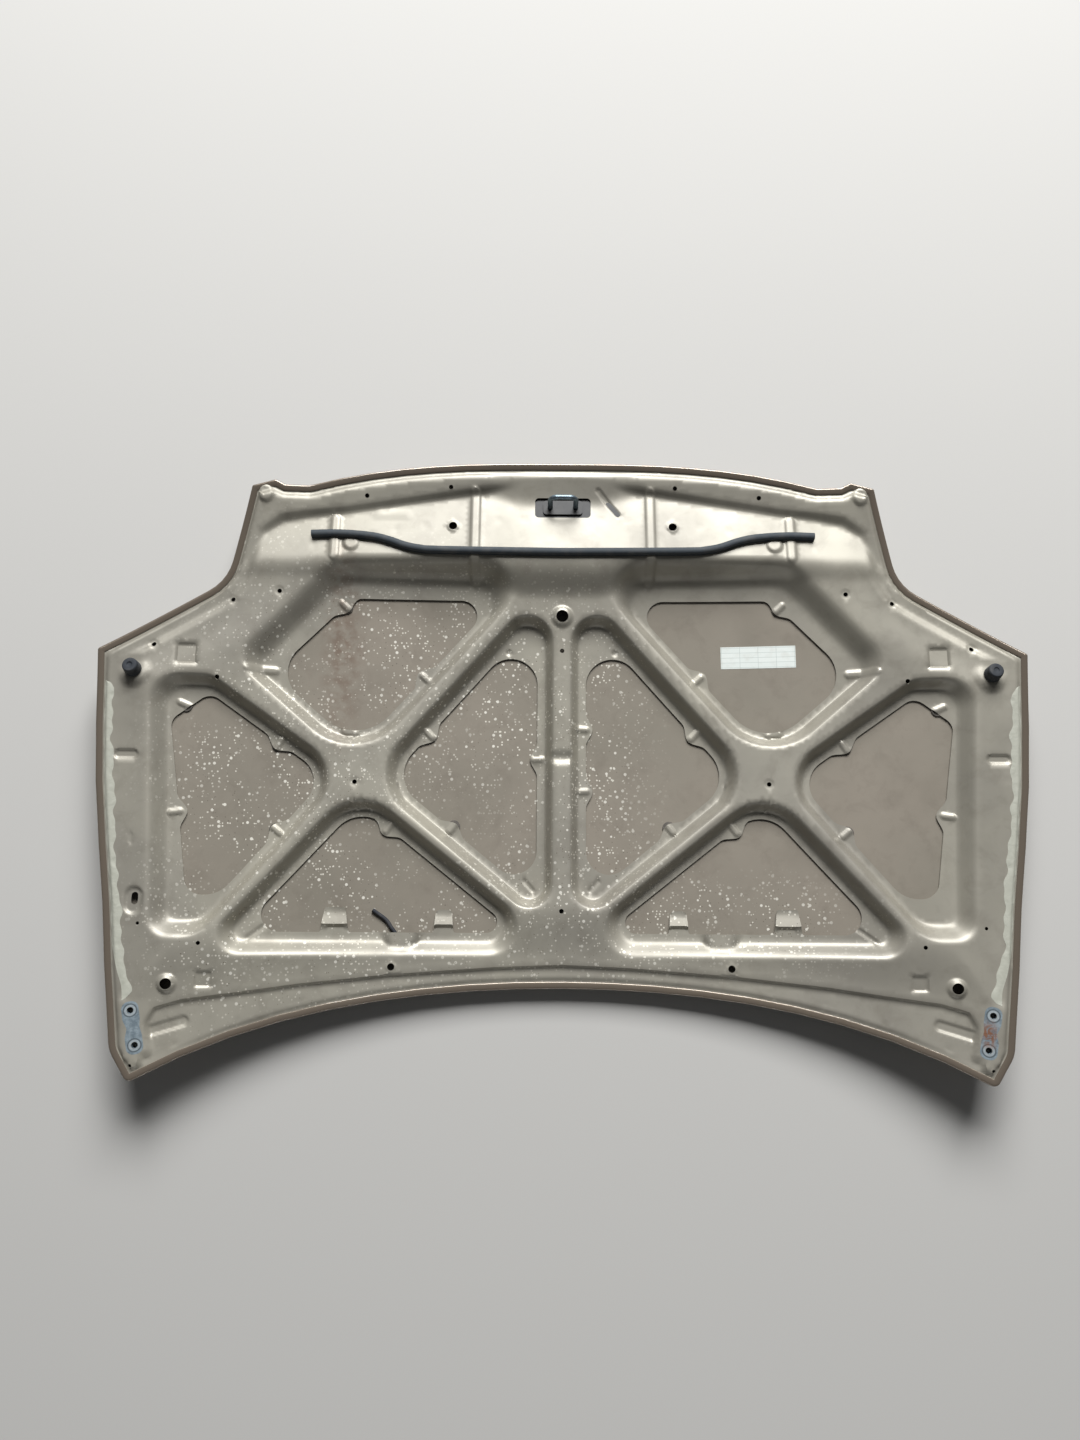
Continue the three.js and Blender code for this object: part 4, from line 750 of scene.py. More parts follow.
def splashed_areas(tree, place):
    """1 where dried drops lie: the splashed areas, broken up into clumps."""
    reach = patch(tree, place, *SPLASHED[0], 0.55)
    for area in SPLASHED[1:]:
        more = patch(tree, place, *area, 0.55)
        reach = add_node(tree, MATH, {0: reach, 1: more}, operation="ADD", use_clamp=True)
    cloud = add_node(tree, NOISE, {"Vector": place, "Scale": scale_of(59), "Detail": 3})
    clump = add_node(tree, RANGE, {"Value": cloud, "From Min": 0.36, "From Max": 0.56})
    return add_node(tree, MATH, {0: reach, 1: clump}, operation="MULTIPLY")


def lacquered_paint(name, clean, dusty, dirt, rough):
    """Beige metallic paint under lacquer on pressed steel: satin with road dust, and dried
    splashes as small pale and brown spots."""
    material, tree, shader, place = new_material(name, clean, rough, 0.3)
    cloud = add_node(tree, NOISE, {
        "Vector": place, "Scale": scale_of(312.5), "Detail": 6, "Roughness": 0.6,
    })
    dust = add_node(tree, RANGE, {"Value": cloud, "From Min": 0.38, "From Max": 0.66})
    base = add_node(tree, MIX, {"Factor": dust, FIRST: clean, SECOND: dusty}, data_type="RGBA")
    smear = add_node(tree, NOISE, {
        "Vector": place, "Scale": scale_of(38.5), "Detail": 5, "Roughness": 0.65, "Distortion": 0.4,
    })
    film = add_node(tree, RANGE, {"Value": smear, "From Min": 0.5, "From Max": 0.74, "To Max": 0.3})
    base = add_node(tree, MIX, {"Factor": film, FIRST: base, SECOND: dirt}, data_type="RGBA")

    reach = splashed_areas(tree, place)
    # The drops are drawn 2 to 5 mm across, coarser than the real finest ones, so that they show
    for spacing, share, size, shade in (
        (4, 0.3, 0.38, "#DEDACD"), (8.7, 0.34, 0.3, "#E4E1D6"), (3.03, 0.2, 0.3, dirt),
    ):
        drops = splashes(tree, place, spacing, share, size)
        on = add_node(tree, MATH, {0: drops, 1: reach}, operation="MULTIPLY")
        base = add_node(tree, MIX, {"Factor": on, FIRST: base, SECOND: shade}, data_type="RGBA")

    run = patch(tree, place, *RUN, 0.8)
    rivulets = add_node(tree, NOISE, {
        "Vector": place, "Scale": scale_of(16.7), "Detail": 4, "Roughness": 0.6,
    })
    streaks = add_node(tree, RANGE, {
        "Value": rivulets, "From Min": 0.4, "From Max": 0.62, "To Max": 0.6,
    })
    stained = add_node(tree, MATH, {0: run, 1: streaks}, operation="MULTIPLY")
    base = add_node(tree, MIX, {
        "Factor": stained, FIRST: base, SECOND: "#6A5140",
    }, data_type="RGBA")

    wear = add_node(tree, NOISE, {
        "Vector": place, "Scale": scale_of(111), "Detail": 4, "Roughness": 0.6,
    })
    sheen = add_node(tree, RANGE, {
        "Value": wear, "From Min": 0.3, "From Max": 0.7, "To Min": rough - 0.06, "To Max": rough + 0.12,
    })
    peel = add_node(tree, NOISE, {"Vector": place, "Scale": scale_of(1.11), "Detail": 2})
    orange_peel = add_node(tree, BUMP, {"Height": peel, "Distance": 0.08 * MM, "Strength": 0.5})
    set_inputs(tree, shader, {
        "Base Color": base, "Roughness": sheen, "Normal": orange_peel,
        "Coat Weight": 0.2, "Coat Roughness": 0.35,
    })
    return material


def mottled_finish(name, shade, rough, shades, depth, strength, **pattern):
    """A matt finish of two shades, mixed and raised by one noise."""
    material, tree, shader, place = new_material(name, shade, rough)
    spots = add_node(tree, NOISE, {"Vector": place, "Detail": 3, **pattern})
    base = add_node(tree, MIX, {
        "Factor": spots, FIRST: shades[0], SECOND: shades[1],
    }, data_type="RGBA")
    raised = add_node(tree, BUMP, {"Height": spots, "Distance": depth * MM, "Strength": strength})
    set_inputs(tree, shader, {"Base Color": base, "Normal": raised})
    return material


def gloss_lacquer():
    """Gloss champagne metallic paint of the outer face and the turned rim: deep, with clear lacquer that
    mirrors the room and fine flake. Its base is set dark all over as painted shade, standing in for the
    dark look of the rim and hem, which turn away from the light."""
    material, tree, shader, place = new_material("gloss champagne lacquer with painted shade", "#8A7E70", 0.24, 0.55)
    # The flake is drawn about 0.4 mm wide, coarser than real flake, so that it shows
    flake = add_node(tree, NOISE, {"Vector": place, "Scale": scale_of(0.385), "Detail": 1})
    # Both flake shades are kept dark: painted shade for the rim and hem
    base = add_node(tree, MIX, {
        "Factor": flake, FIRST: "#83776A", SECOND: "#94887A",
    }, data_type="RGBA")
    peel = add_node(tree, NOISE, {"Vector": place, "Scale": scale_of(1.43), "Detail": 2})
    orange_peel = add_node(tree, BUMP, {"Height": peel, "Distance": 0.03 * MM, "Strength": 0.4})
    set_inputs(tree, shader, {
        "Base Color": base, "Normal": orange_peel, "Coat Weight": 1.0, "Coat Roughness": 0.05,
    })
    return material


def dusted_finish(name, shade, rough, width, fade, under, over, depth, grain=None):
    """A dark finish with dust on it; its relief follows the dust, or a grain of its own."""
    material, tree, shader, place = new_material(name, shade, rough)
    cloud = add_node(tree, NOISE, {"Vector": place, "Scale": scale_of(width), "Detail": 4})
    dust = add_node(tree, RANGE, {"Value": cloud, "From Min": 0.45, "From Max": 0.75, "To Max": fade})
    base = add_node(tree, MIX, {"Factor": dust, FIRST: under, SECOND: over}, data_type="RGBA")
    height, strength = dust, 1.0
    if grain:
        height = add_node(tree, NOISE, {"Vector": place, "Scale": scale_of(grain), "Detail": 2})
        strength = 0.6
    raised = add_node(tree, BUMP, {"Height": height, "Distance": depth * MM, "Strength": strength})
    set_inputs(tree, shader, {"Base Color": base, "Normal": raised})
    return material


def dipped_steel():
    """Black dip-primed steel under the latch shelf: semi-matt, nearly black."""
    return dusted_finish(
        "black dip primer", "#1B1D1F", 0.5, width=14.3, fade=0.3,
        under="#17191B", over="#4A4843", depth=0.1,
    )


def moulded_rubber(name, shade, grain):
    """EPDM rubber: matt and near black, dusty in patches all over, with a fine moulded grain."""
    return dusted_finish(
        name, shade, 0.72, width=16.7, fade=0.35, under=shade, over="#6C6A66", depth=0.2, grain=grain,
    )


def zinc_steel():
    """Zinc-plated steel gone dull: grey-blue and mottled, with a few brown rust freckles."""
    material, tree, shader, place = new_material("dull zinc plate", "#8FA0AB", 0.42, 0.85)
    cloud = add_node(tree, NOISE, {"Vector": place, "Scale": scale_of(6.25), "Detail": 4})
    mottled = add_node(tree, RANGE, {"Value": cloud, "From Min": 0.35, "From Max": 0.7})
    base = add_node(tree, MIX, {
        "Factor": mottled, FIRST: "#8FA0AB", SECOND: "#6E7B84",
    }, data_type="RGBA")
    freckles = add_node(tree, NOISE, {
        "Vector": place, "Scale": scale_of(11.1), "Detail": 5, "Roughness": 0.7,
    })
    rust = add_node(tree, RANGE, {
        "Value": freckles, "From Min": 0.62, "From Max": 0.72, "To Max": 0.8,
    })
    base = add_node(tree, MIX, {"Factor": rust, FIRST: base, SECOND: "#7A5238"}, data_type="RGBA")
    raised = add_node(tree, BUMP, {"Height": mottled, "Distance": 0.1 * MM, "Strength": 1.0})
    set_inputs(tree, shader, {"Base Color": base, "Normal": raised})
    return material


def bare_patch():
    """Paint rubbed off under a hinge: bluish primer with pale rings where the bolt heads sat,
    and a rust stain on one side."""
    material, tree, shader, place = new_material("rubbed hinge face", "#93A3AD", 0.5, 0.45)
    cloud = add_node(tree, NOISE, {
        "Vector": place, "Scale": scale_of(9.09), "Detail": 5, "Roughness": 0.6,
    })
    worn = add_node(tree, RANGE, {"Value": cloud, "From Min": 0.4, "From Max": 0.62})
    base = add_node(tree, MIX, {
        "Factor": worn, FIRST: "#98A6AE", SECOND: "#77858E",
    }, data_type="RGBA")
    for side in (-1, 1):
        for x, y in HINGE_HOLES:
            hole = (Vector((side * x, y, 0)) + Vector((0, SHIFT.y, 0))) * MM
            for radius, shade in ((BOLT_RING / 2, "#5F6A70"), (BOLT_FACE / 2, "#A9B3B8")):
                spot = patch(tree, place, hole, (radius * MM, radius * MM, 1), 0.06)
                base = add_node(tree, MIX, {
                    "Factor": spot, FIRST: base, SECOND: shade,
                }, data_type="RGBA")
    middle = ((HINGE[0] - 3) * MM, (HINGE[1] + SHIFT.y - 2) * MM, 0)
    stain = patch(tree, place, middle, (0.012, 0.016, 1), 0.5)
    bloom = add_node(tree, NOISE, {
        "Vector": place, "Scale": scale_of(11.1), "Detail": 4, "Roughness": 0.7, "Distortion": 1.0,
    })
    rust = add_node(tree, RANGE, {"Value": bloom, "From Min": 0.4, "From Max": 0.55, "To Max": 0.9})
    rusty = add_node(tree, MATH, {0: stain, 1: rust}, operation="MULTIPLY")
    base = add_node(tree, MIX, {"Factor": rusty, FIRST: base, SECOND: "#8A5A3A"}, data_type="RGBA")
    raised = add_node(tree, BUMP, {"Height": worn, "Distance": 0.15 * MM, "Strength": 1.0})
    set_inputs(tree, shader, {"Base Color": base, "Normal": raised})
    return material


def bonding_mastic():
    """Cured bonding mastic: a soft grey paste that spread under the flange, matt."""
    return mottled_finish(
        "cured bonding mastic", "#57534E", 0.85, ("#45423E", "#716C65"),
        depth=0.6, strength=1.0, Scale=scale_of(4.17),
    )


def brushed_sealer():
    """Brushed-on seam sealer, painted over: paler than the panel, with soft brush ridges."""
    return mottled_finish(
        "painted seam sealer", "#B4B5A8", 0.55, ("#A8A99C", "#BFC0B4"),
        depth=0.8, strength=0.7, Scale=scale_of(9.09), Distortion=0.6,
    )


def label_film():
    """Polyester label film: pale and smooth, with faint ruled fields and dust."""
    material, tree, shader, place = new_material("ruled label film", "#E8EEEA", 0.45)
    turned = add_node(tree, "ShaderNodeMapping", vector_type="TEXTURE")
    set_inputs(tree, turned, {
        "Location": (Vector((*LABEL_PLACE, 0)) + SHIFT) * MM, "Rotation": (0, 0, LABEL_TURN),
        "Vector": place,
    })
    fields = add_node(tree, "ShaderNodeTexBrick", {
        "Vector": turned, "Scale": 1.0, "Mortar Size": 0.4 * MM, "Mortar Smooth": 0.3,
        "Brick Width": 28.5 * MM, "Row Height": 7.8 * MM,
        "Color1": "#E8EEEA", "Color2": "#E3EAE6", "Mortar": "#C3CCC8",
    }, offset=0.0, squash=1.0)
    cloud = add_node(tree, NOISE, {"Vector": place, "Scale": scale_of(12.5), "Detail": 4})
    dust = add_node(tree, RANGE, {"Value": cloud, "From Min": 0.5, "From Max": 0.8, "To Max": 0.25})
    base = add_node(tree, MIX, {
        "Factor": dust, FIRST: fields, SECOND: "#B9B2A4",
    }, data_type="RGBA")
    set_inputs(tree, shader, {"Base Color": base})
    return material


PANEL_PAINT = lacquered_paint("satin beige lacquer", "#A8A497", "#98948A", "#736C60", 0.4)
SKIN_PAINT = lacquered_paint("thin beige lacquer", "#8B8579", "#948C80", "#6A6257", 0.48)
OUTER_PAINT = gloss_lacquer()
PRIMER = dipped_steel()
ZINC = zinc_steel()
RUBBED = bare_patch()
SEAL_RUBBER = moulded_rubber("sponge seal rubber", "#3B4248", 1.11)
STOP_RUBBER = moulded_rubber("moulded stop rubber", "#2A2F36", 1.43)
HOSE_RUBBER = moulded_rubber("hose rubber", "#23272F", 2)
MASTIC = bonding_mastic()
SEALER = brushed_sealer()
FILM = label_film()


# Sheets

def hexagonal_grid(step):
    rows = np.arange(-TIP_REACH, FRONT_REACH + step, step * math.sqrt(3) / 2)
    points = [
        (x, y)
        for row, y in enumerate(rows)
        for x in np.arange(-HALF_WIDTH + (row % 2) * step / 2, HALF_WIDTH, step)
    ]
    return np.array(points)


def circle(x, y, diameter, sides=14):
    turns = 2 * math.pi * np.arange(sides) / sides
    return np.stack([x + diameter / 2 * np.cos(turns), y + diameter / 2 * np.sin(turns)], axis=1)


def mirrored(loop):
    return (loop * [-1, 1])[::-1]


def with_lobes(loop, lobes):
    """Bulges a cut-out's edge softly over the mastic pads."""
    along = np.roll(loop, -1, axis=0) - np.roll(loop, 1, axis=0)
    along /= np.linalg.norm(along, axis=1)[:, None]
    moved = loop.copy()
    for x, y, reach in lobes:
        share = 1 - smooth(np.hypot(loop[:, 0] - x, loop[:, 1] - y) / LOBE_HALF_LENGTH)
        moved[:, 0] -= along[:, 1] * reach * share
        moved[:, 1] += along[:, 0] * reach * share
    return moved


def mesh_area(border, cutouts, extra, least):
    """Triangles of the area inside the border and outside the cut-outs, through extra points."""
    loops = [border, *cutouts]
    known = np.concatenate(loops)
    x, y = extra[:, 0], extra[:, 1]
    keep = inside(border, x, y)
    for loop in cutouts:
        keep &= ~inside(loop, x, y)
    tree = search_tree(known)
    inner = [p for p in extra[keep] if tree.find((p[0], p[1], 0))[2] > least]
    points = np.concatenate([known, np.array(inner)])
    edges = []
    start = 0
    for loop in loops:
        size = len(loop)
        edges += [(start + i, start + (i + 1) % size) for i in range(size)]
        start += size
    made = delaunay_2d_cdt([Vector(p) for p in points], edges, [], 0, 1e-4)
    flat = np.array([tuple(v) for v in made[0]])
    faces = np.array(made[2])
    centre = flat[faces].mean(axis=1)
    wanted = inside(border, centre[:, 0], centre[:, 1])
    for loop in cutouts:
        wanted &= ~inside(loop, centre[:, 0], centre[:, 1])
    faces = faces[wanted]
    a, b, c = (flat[faces[:, i]] for i in range(3))
    area = (b[:, 0] - a[:, 0]) * (c[:, 1] - a[:, 1]) - (c[:, 0] - a[:, 0]) * (b[:, 1] - a[:, 1])
    faces[area < 0] = faces[area < 0][:, ::-1]
    return flat, faces


def fine_points(step, margin=3.0):
    """Closer points over the pressed details, which are smaller than the grid."""
    spots = []
    for sides, bars in (((-1, 1), MIRRORED_BARS), ((1,), RIGHT_BARS), ((-1,), LEFT_BARS)):
        for start, end, half, flank, _ in bars:
            for side in sides:
                spots.append((start, end, half + flank + margin, side))
    for (x, y), (half_x, half_y), flank, _ in MIRRORED_TILES:
        reach = max(half_x, half_y) + flank + margin
        spots += [((x, y), (x, y), reach, side) for side in (-1, 1)]
    points = []
    for (ax, ay), (bx, by), reach, side in spots:
        across = np.arange(min(ax, bx) - reach, max(ax, bx) + reach, step)
        along = np.arange(min(ay, by) - reach, max(ay, by) + reach, step)
        px, py = (grid.ravel() for grid in np.meshgrid(across, along))
        near = distance([(ax, ay), (bx + 1e-3, by)], px, py) < reach
        points.append(np.column_stack([side * px[near], py[near]]))
    return np.concatenate(points)


# Round holes of one half: place and diameter
SIDE_HOLES = [
    (177, 402, 7), (309, 386, 7), (441, 231, 7), (512, 216, 7), (626, 141, 7), (530, 93, 7),
    (317, -65, 7), (620, -279, 5), (532, -307, 6), (173, 339, 13), (253, -341, 10.7),
    (573, -365, 16), (613, -478, 5), (*STOP, 10.8), *[(*place, HINGE_HOLE) for place in HINGE_HOLES],
]
# Holes on the middle line: place along Y, diameter and sides
MIDDLE_HOLES = [(198, 19, 24), (144, 7, 14), (-258, 7, 14)]
STAY_SLOT = (-628, -243)
STAY_SLOT_WIDTH = 10
STAY_SLOT_STRETCH = 4


def panel_holes():
    holes = [circle(side * x, y, d, 18) for x, y, d in SIDE_HOLES for side in (-1, 1)]
    holes += [circle(0, y, d, sides) for y, d, sides in MIDDLE_HOLES]
    slot = circle(*STAY_SLOT, STAY_SLOT_WIDTH, 16)
    slot[:, 1] += np.sign(slot[:, 1] - STAY_SLOT[1]) * STAY_SLOT_STRETCH
    holes.append(slot)
    half_x, half_y = WINDOW[0] / 2, WINDOW[1] / 2
    corners = [(-half_x, -half_y), (half_x, -half_y), (half_x, half_y), (-half_x, half_y)]
    holes.append(rounded_loop([(x, WINDOW_Y + y, WINDOW_ROUND) for x, y in corners]))
    return holes


def panel_openings():
    loops = []
    for side in (1, -1):
        for name, pocket in POCKETS.items():
            lobes = pocket["lobes"] + (SPINE_LOBES[side] if name == "centre" else [])
            loop = with_lobes(rounded_loop(pocket["opening"]), lobes)
            loops.append(loop if side > 0 else mirrored(loop))
    return loops


FLANK_SHARES = (0, 0.14, 0.3, 0.5, 0.7, 0.86, 1)
FLANK_ROW_STEP = 4.5


def flank_rows():
    """Rows of points along every flank, so that its foot and crest stay clean lines."""
    rows = []
    for share in FLANK_SHARES:
        for pocket in POCKETS.values():
            offsets = [flank * share for flank in pocket["flanks"]]
            level = widened(pocket["foot"], offsets, pocket["crest_round"] * share)
            row = rounded_loop(level, 0, FLANK_ROW_STEP)
            rows += [row, mirrored(row)]
    return np.concatenate(rows)


def beside(line, offset, step):
    """Points beside a plan line of the right half, and their mirror images."""
    fine = np.array(spline_steps(line, step))
    along = np.gradient(fine, axis=0)
    along /= np.linalg.norm(along, axis=1)[:, None]
    moved = fine + offset * np.column_stack([-along[:, 1], along[:, 0]])
    return np.concatenate([moved, moved * [-1, 1]])


def spline_steps(line, step):
    points = [Vector(p) for p in line]
    fine = []
    for a, b in zip(points, points[1:]):
        pieces = max(1, round((b - a).length / step))
        fine += [tuple(a.lerp(b, k / pieces)) for k in range(pieces)]
    return [*fine, tuple(points[-1])]


def thinned(groups):
    """Joins groups of points, each with its gap, and drops points too near an earlier one."""
    cell = max(gap for _, gap in groups)
    cells, kept = {}, []
    for points, gap in groups:
        for x, y in points:
            column, row = int(x // cell), int(y // cell)
            near = (
                other
                for i in (column - 1, column, column + 1)
                for j in (row - 1, row, row + 1)
                for other in cells.get((i, j), ())
            )
            if all(math.hypot(x - a, y - b) >= gap for a, b in near):
                cells.setdefault((column, row), []).append((x, y))
                kept.append((x, y))
    return np.array(kept)


# Rows of mesh points: distances in from the edge, and beside the rear step and the strip line
EDGE_ROWS = (6, PANEL_FOLD_INSET, 13.5, 15.5, 18, 21)
STEP_ROWS = (-1.5, 0, 1.5, 3.5, 5.5, 7, 9)
STRIP_ROWS = (-7, -3.5, 0, 3.5, 7)


def make_inner_panel():
    """The pressed sheet, with rows of points along every fold so that they stay clean lines."""
    border = rounded_loop(OUTLINE, PANEL_EDGE_INSET, 8)
    edge = [rounded_loop(OUTLINE, inset, 7) for inset in EDGE_ROWS]
    rear_step = [beside(REAR_STEP[:-1], offset, 5) for offset in STEP_ROWS]
    strip = [beside(STRIP_LINE, offset, 6) for offset in STRIP_ROWS]
    points = thinned([
        (fine_points(2.4), 1.7),
        (flank_rows(), 2.1),
        (np.concatenate(edge), 1.8),
        (np.concatenate(rear_step + strip), 1.8),
        (hexagonal_grid(PANEL_STEP), 3.4),
    ])
    flat, faces = mesh_area(border, panel_openings() + panel_holes(), points, 1.6)
    z = panel_z(flat[:, 0], flat[:, 1])
    vertices = to_frame(np.column_stack([flat, z]))
    panel = new_object("panel_pressing", vertices, faces.tolist(), PANEL_PAINT, [wall(PANEL_WALL)])
    return declare(panel, "panel_paint", "inner_panel")


# Skin higher than this over its middle sheet belongs to the rim and shows the gloss paint, whose dark base
# is painted shade
RIM_PAINT_RISE = 1.5


def make_outer_skin():
    """The skin with its rim turned up and its hem folded in over the panel's edge."""
    foot = RIM_ROUND + SKIN_WALL / 2
    border = rounded_loop(OUTLINE, foot, 12)
    flat, faces = mesh_area(border, [], hexagonal_grid(SKIN_STEP), 6)
    points = [(x, y, float(skin_height(x, y))) for x, y in flat]
    faces = faces.tolist()
    tree = search_tree(flat)
    inner = [tree.find((p[0], p[1], 0))[1] for p in border]
    profile = [
        (foot - RIM_ROUND * math.sin(a), lambda x, a=a: RIM_ROUND * (1 - math.cos(a)))
        for a in np.radians([15, 30, 45, 60, 75, 90])
    ]
    fold = (
        (0, 2.8), (0.3, 1.6), (1.0, 0.7), (2.0, 0.2), (3.2, 0), (HEM_WIDTH - 0.6, 0), (HEM_WIDTH, 0.25),
    )
    profile += [(SKIN_WALL / 2 + inset, lambda x, drop=drop: rim_height(x) - drop) for inset, drop in fold]
    for inset, rise in profile:
        row = rounded_loop(OUTLINE, inset, 12)
        outer = list(range(len(points), len(points) + len(row)))
        points += [(x, y, float(skin_height(x, y) + rise(x))) for x, y in row]
        for i in range(len(row)):
            j = (i + 1) % len(row)
            faces.append([inner[i], outer[i], outer[j], inner[j]])
        inner = outer
    skin = new_object("skin_pressing", to_frame(points), faces, SKIN_PAINT, [wall(SKIN_WALL)])
    skin.data.materials.append(OUTER_PAINT)
    faces = skin.data.polygons
    centre = np.array([tuple(face.center) for face in faces]) / MM - np.array(SHIFT)
    above = centre[:, 2] - skin_height(centre[:, 0], centre[:, 1])
    # Rim faces and the outer face take the gloss paint with its painted shade
    for face, rise in zip(faces, above):
        if rise > RIM_PAINT_RISE or face.normal.z < 0:
            face.material_index = 1
    return declare(skin, "skin_paint", "outer_skin")


SEALER_START = 12
SEALER_WIDTH = 14
SEALER_ENDS = (-388, 84)
SEALER_BANDS = 8
SEALER_WALL = 0.3
SEALER_STEP = 3
SEALER_END_FADE = 12
SEALER_LEAST_WIDTH = 1
# Behind this line the band veers in, round the hinge pad's corner
SEALER_VEER = 12
SEALER_VEER_Y = -300
SEALER_VEER_LENGTH = 80


def make_sealer_band(side):
    """Brushed sealer inside the hem of a side edge, with a wavy inner border."""
    first, last = SEALER_ENDS
    y = np.arange(first, last + 1, float(SEALER_STEP))
    edge = np.interp(y, [p[1] for p in SIDE_PATH], [p[0] for p in SIDE_PATH])
    fade = np.sqrt(np.clip(np.minimum(y - first, y[-1] - y) / SEALER_END_FADE, 0, 1))
    wave = 1.5 * np.sin(y / 9 + side) + 1.2 * np.sin(y / 4.3) + 1.6 * np.sin(y / 31 + 2 * side)
    veer = SEALER_VEER * smooth((SEALER_VEER_Y - y) / SEALER_VEER_LENGTH)
    width = np.maximum((SEALER_WIDTH + wave) * fade, SEALER_LEAST_WIDTH)
    start = SEALER_START + veer + 0.5 * np.sin(y / 6)
    points = []
    for band in range(SEALER_BANDS + 1):
        share = band / SEALER_BANDS
        inset = start + width * share
        lift = 0.42 + 0.7 * math.sin(math.pi * min(max(share, 0.08), 0.96)) * fade
        points.append(np.column_stack([side * (edge - inset), y, lift]))
    points = np.concatenate(points)
    points[:, 2] += panel_z(points[:, 0], points[:, 1])
    faces = [face[::side] for face in grid_faces(SEALER_BANDS + 1, len(y))]
    name = "side_sealer_" + hand(side)
    sealer = new_object(name, to_frame(points), faces, SEALER, [wall(SEALER_WALL)])
    return declare(sealer, "panel_paint")


# Outline of the worn face, across and along the hinge pad
HINGE_FACE = [
    (-11.5, -37, 10), (11.5, -37, 10), (11.5, -13, 7), (7.5, 0, 7), (11.5, 13, 7),
    (11.5, 37, 10), (-11.5, 37, 10), (-11.5, 12, 6), (-9.5, 0, 6), (-11.5, -12, 6),
]
HINGE_FACE_HOLE = HINGE_HOLE + 0.6
HINGE_FACE_LIFT = 0.06
HINGE_FACE_WALL = 0.08


def make_hinge_face(side):
    """Thin worn face on the hinge pad where the hinge leaf sat."""
    loop = rounded_loop(HINGE_FACE, step=4)
    holes = [circle(0, end * HINGE_PITCH / 2, HINGE_FACE_HOLE, 18) for end in (-1, 1)]
    flat, faces = mesh_area(loop, holes, np.array([[0.1, 0.1]]), 1)
    across = Vector((math.cos(HINGE_LEAN), -math.sin(HINGE_LEAN)))
    along = Vector((math.sin(HINGE_LEAN), math.cos(HINGE_LEAN)))
    points = []
    for u, v in flat:
        x = HINGE[0] + across.x * u + along.x * v
        y = HINGE[1] + across.y * u + along.y * v
        drop = (HINGE_NORMAL.x * (x - HINGE[0]) + HINGE_NORMAL.y * (y - HINGE[1])) / HINGE_NORMAL.z
        points.append((side * x, y, HINGE_POINT.z - drop + PANEL_WALL / 2 + HINGE_FACE_LIFT))
    faces = faces[:, ::side].tolist()
    name = "hinge_face_" + hand(side)
    face = new_object(name, to_frame(points), faces, RUBBED, [wall(HINGE_FACE_WALL)])
    return declare(face, "bare_steel")


# Fittings

def lathe(profile, sides):
    """Closed turned solid about its own Z: rings of a profile of (radius, z), outermost first."""
    vertices = []
    for radius, z in profile:
        for k in range(sides):
            turn = 2 * math.pi * k / sides
            vertices.append((radius * math.cos(turn), radius * math.sin(turn), z))
    faces = []
    for ring in range(len(profile) - 1):
        for k in range(sides):
            a, b = ring * sides + k, ring * sides + (k + 1) % sides
            faces.append([a, b, b + sides, a + sides])
    faces.append(list(range(sides))[::-1])
    faces.append([(len(profile) - 1) * sides + k for k in range(sides)])
    return [Vector(v) for v in vertices], faces


def placed(points, point, normal):
    turn = Vector((0, 0, 1)).rotation_difference(normal)
    return to_frame([turn @ p + point for p in points])


def make_bump_stop(side):
    """A turned rubber buffer with two shallow grooves and a moulding pit in its top."""
    radius, top = STOP_DIAMETER / 2, STOP_HEIGHT
    profile = [
        (3.6, -9), (5, -7), (5, 0), (radius - 0.8, 0), (radius, 0.8), (radius, 4.6),
        (radius - 0.9, 5.4), (radius, 6.2), (radius - 0.5, 11.6), (radius - 1.4, 12.4),
        (radius - 0.6, 13.2), (radius - 1.1, top - 1.8), (radius - 2.6, top), (4.5, top),
        (3.4, top - 1.4), (0.4, top - 1.6),
    ]
    points, faces = lathe(profile, 48)
    point = Vector((side * STOP_POINT.x, STOP_POINT.y, STOP_POINT.z))
    point += STOP_NORMAL * (PANEL_WALL / 2 + SEAT_GAP)
    points = placed(points, point, STOP_NORMAL)
    bevel = ("BEVEL", {"width": 0.3 * MM, "segments": 2, "limit_method": "ANGLE"})
    stop = new_object("rubber_stop_" + hand(side), points, faces, STOP_RUBBER, [bevel])
    return declare(stop, "stop_rubber", "bump_stop_" + hand(side))


def sweep(name, places, section, up_of, material):
    """A section of (across, up) carried along places in the frame, each with its up vector."""
    vertices, faces = [], []
    size = len(section)
    for i, place in enumerate(places):
        along = (places[min(i + 1, len(places) - 1)] - places[max(i - 1, 0)]).normalized()
        across = along.cross(up_of(i)).normalized()
        up = across.cross(along)
        vertices += [tuple(place + across * a + up * b) for a, b in section]
    for i in range(len(places) - 1):
        for k in range(size):
            a, b = i * size + k, i * size + (k + 1) % size
            faces.append([a, b, b + size, a + size][::-1])
    faces.append(list(range(size)))
    faces.append([len(vertices) - size + k for k in range(size)][::-1])
    return new_object(name, vertices, faces, material)


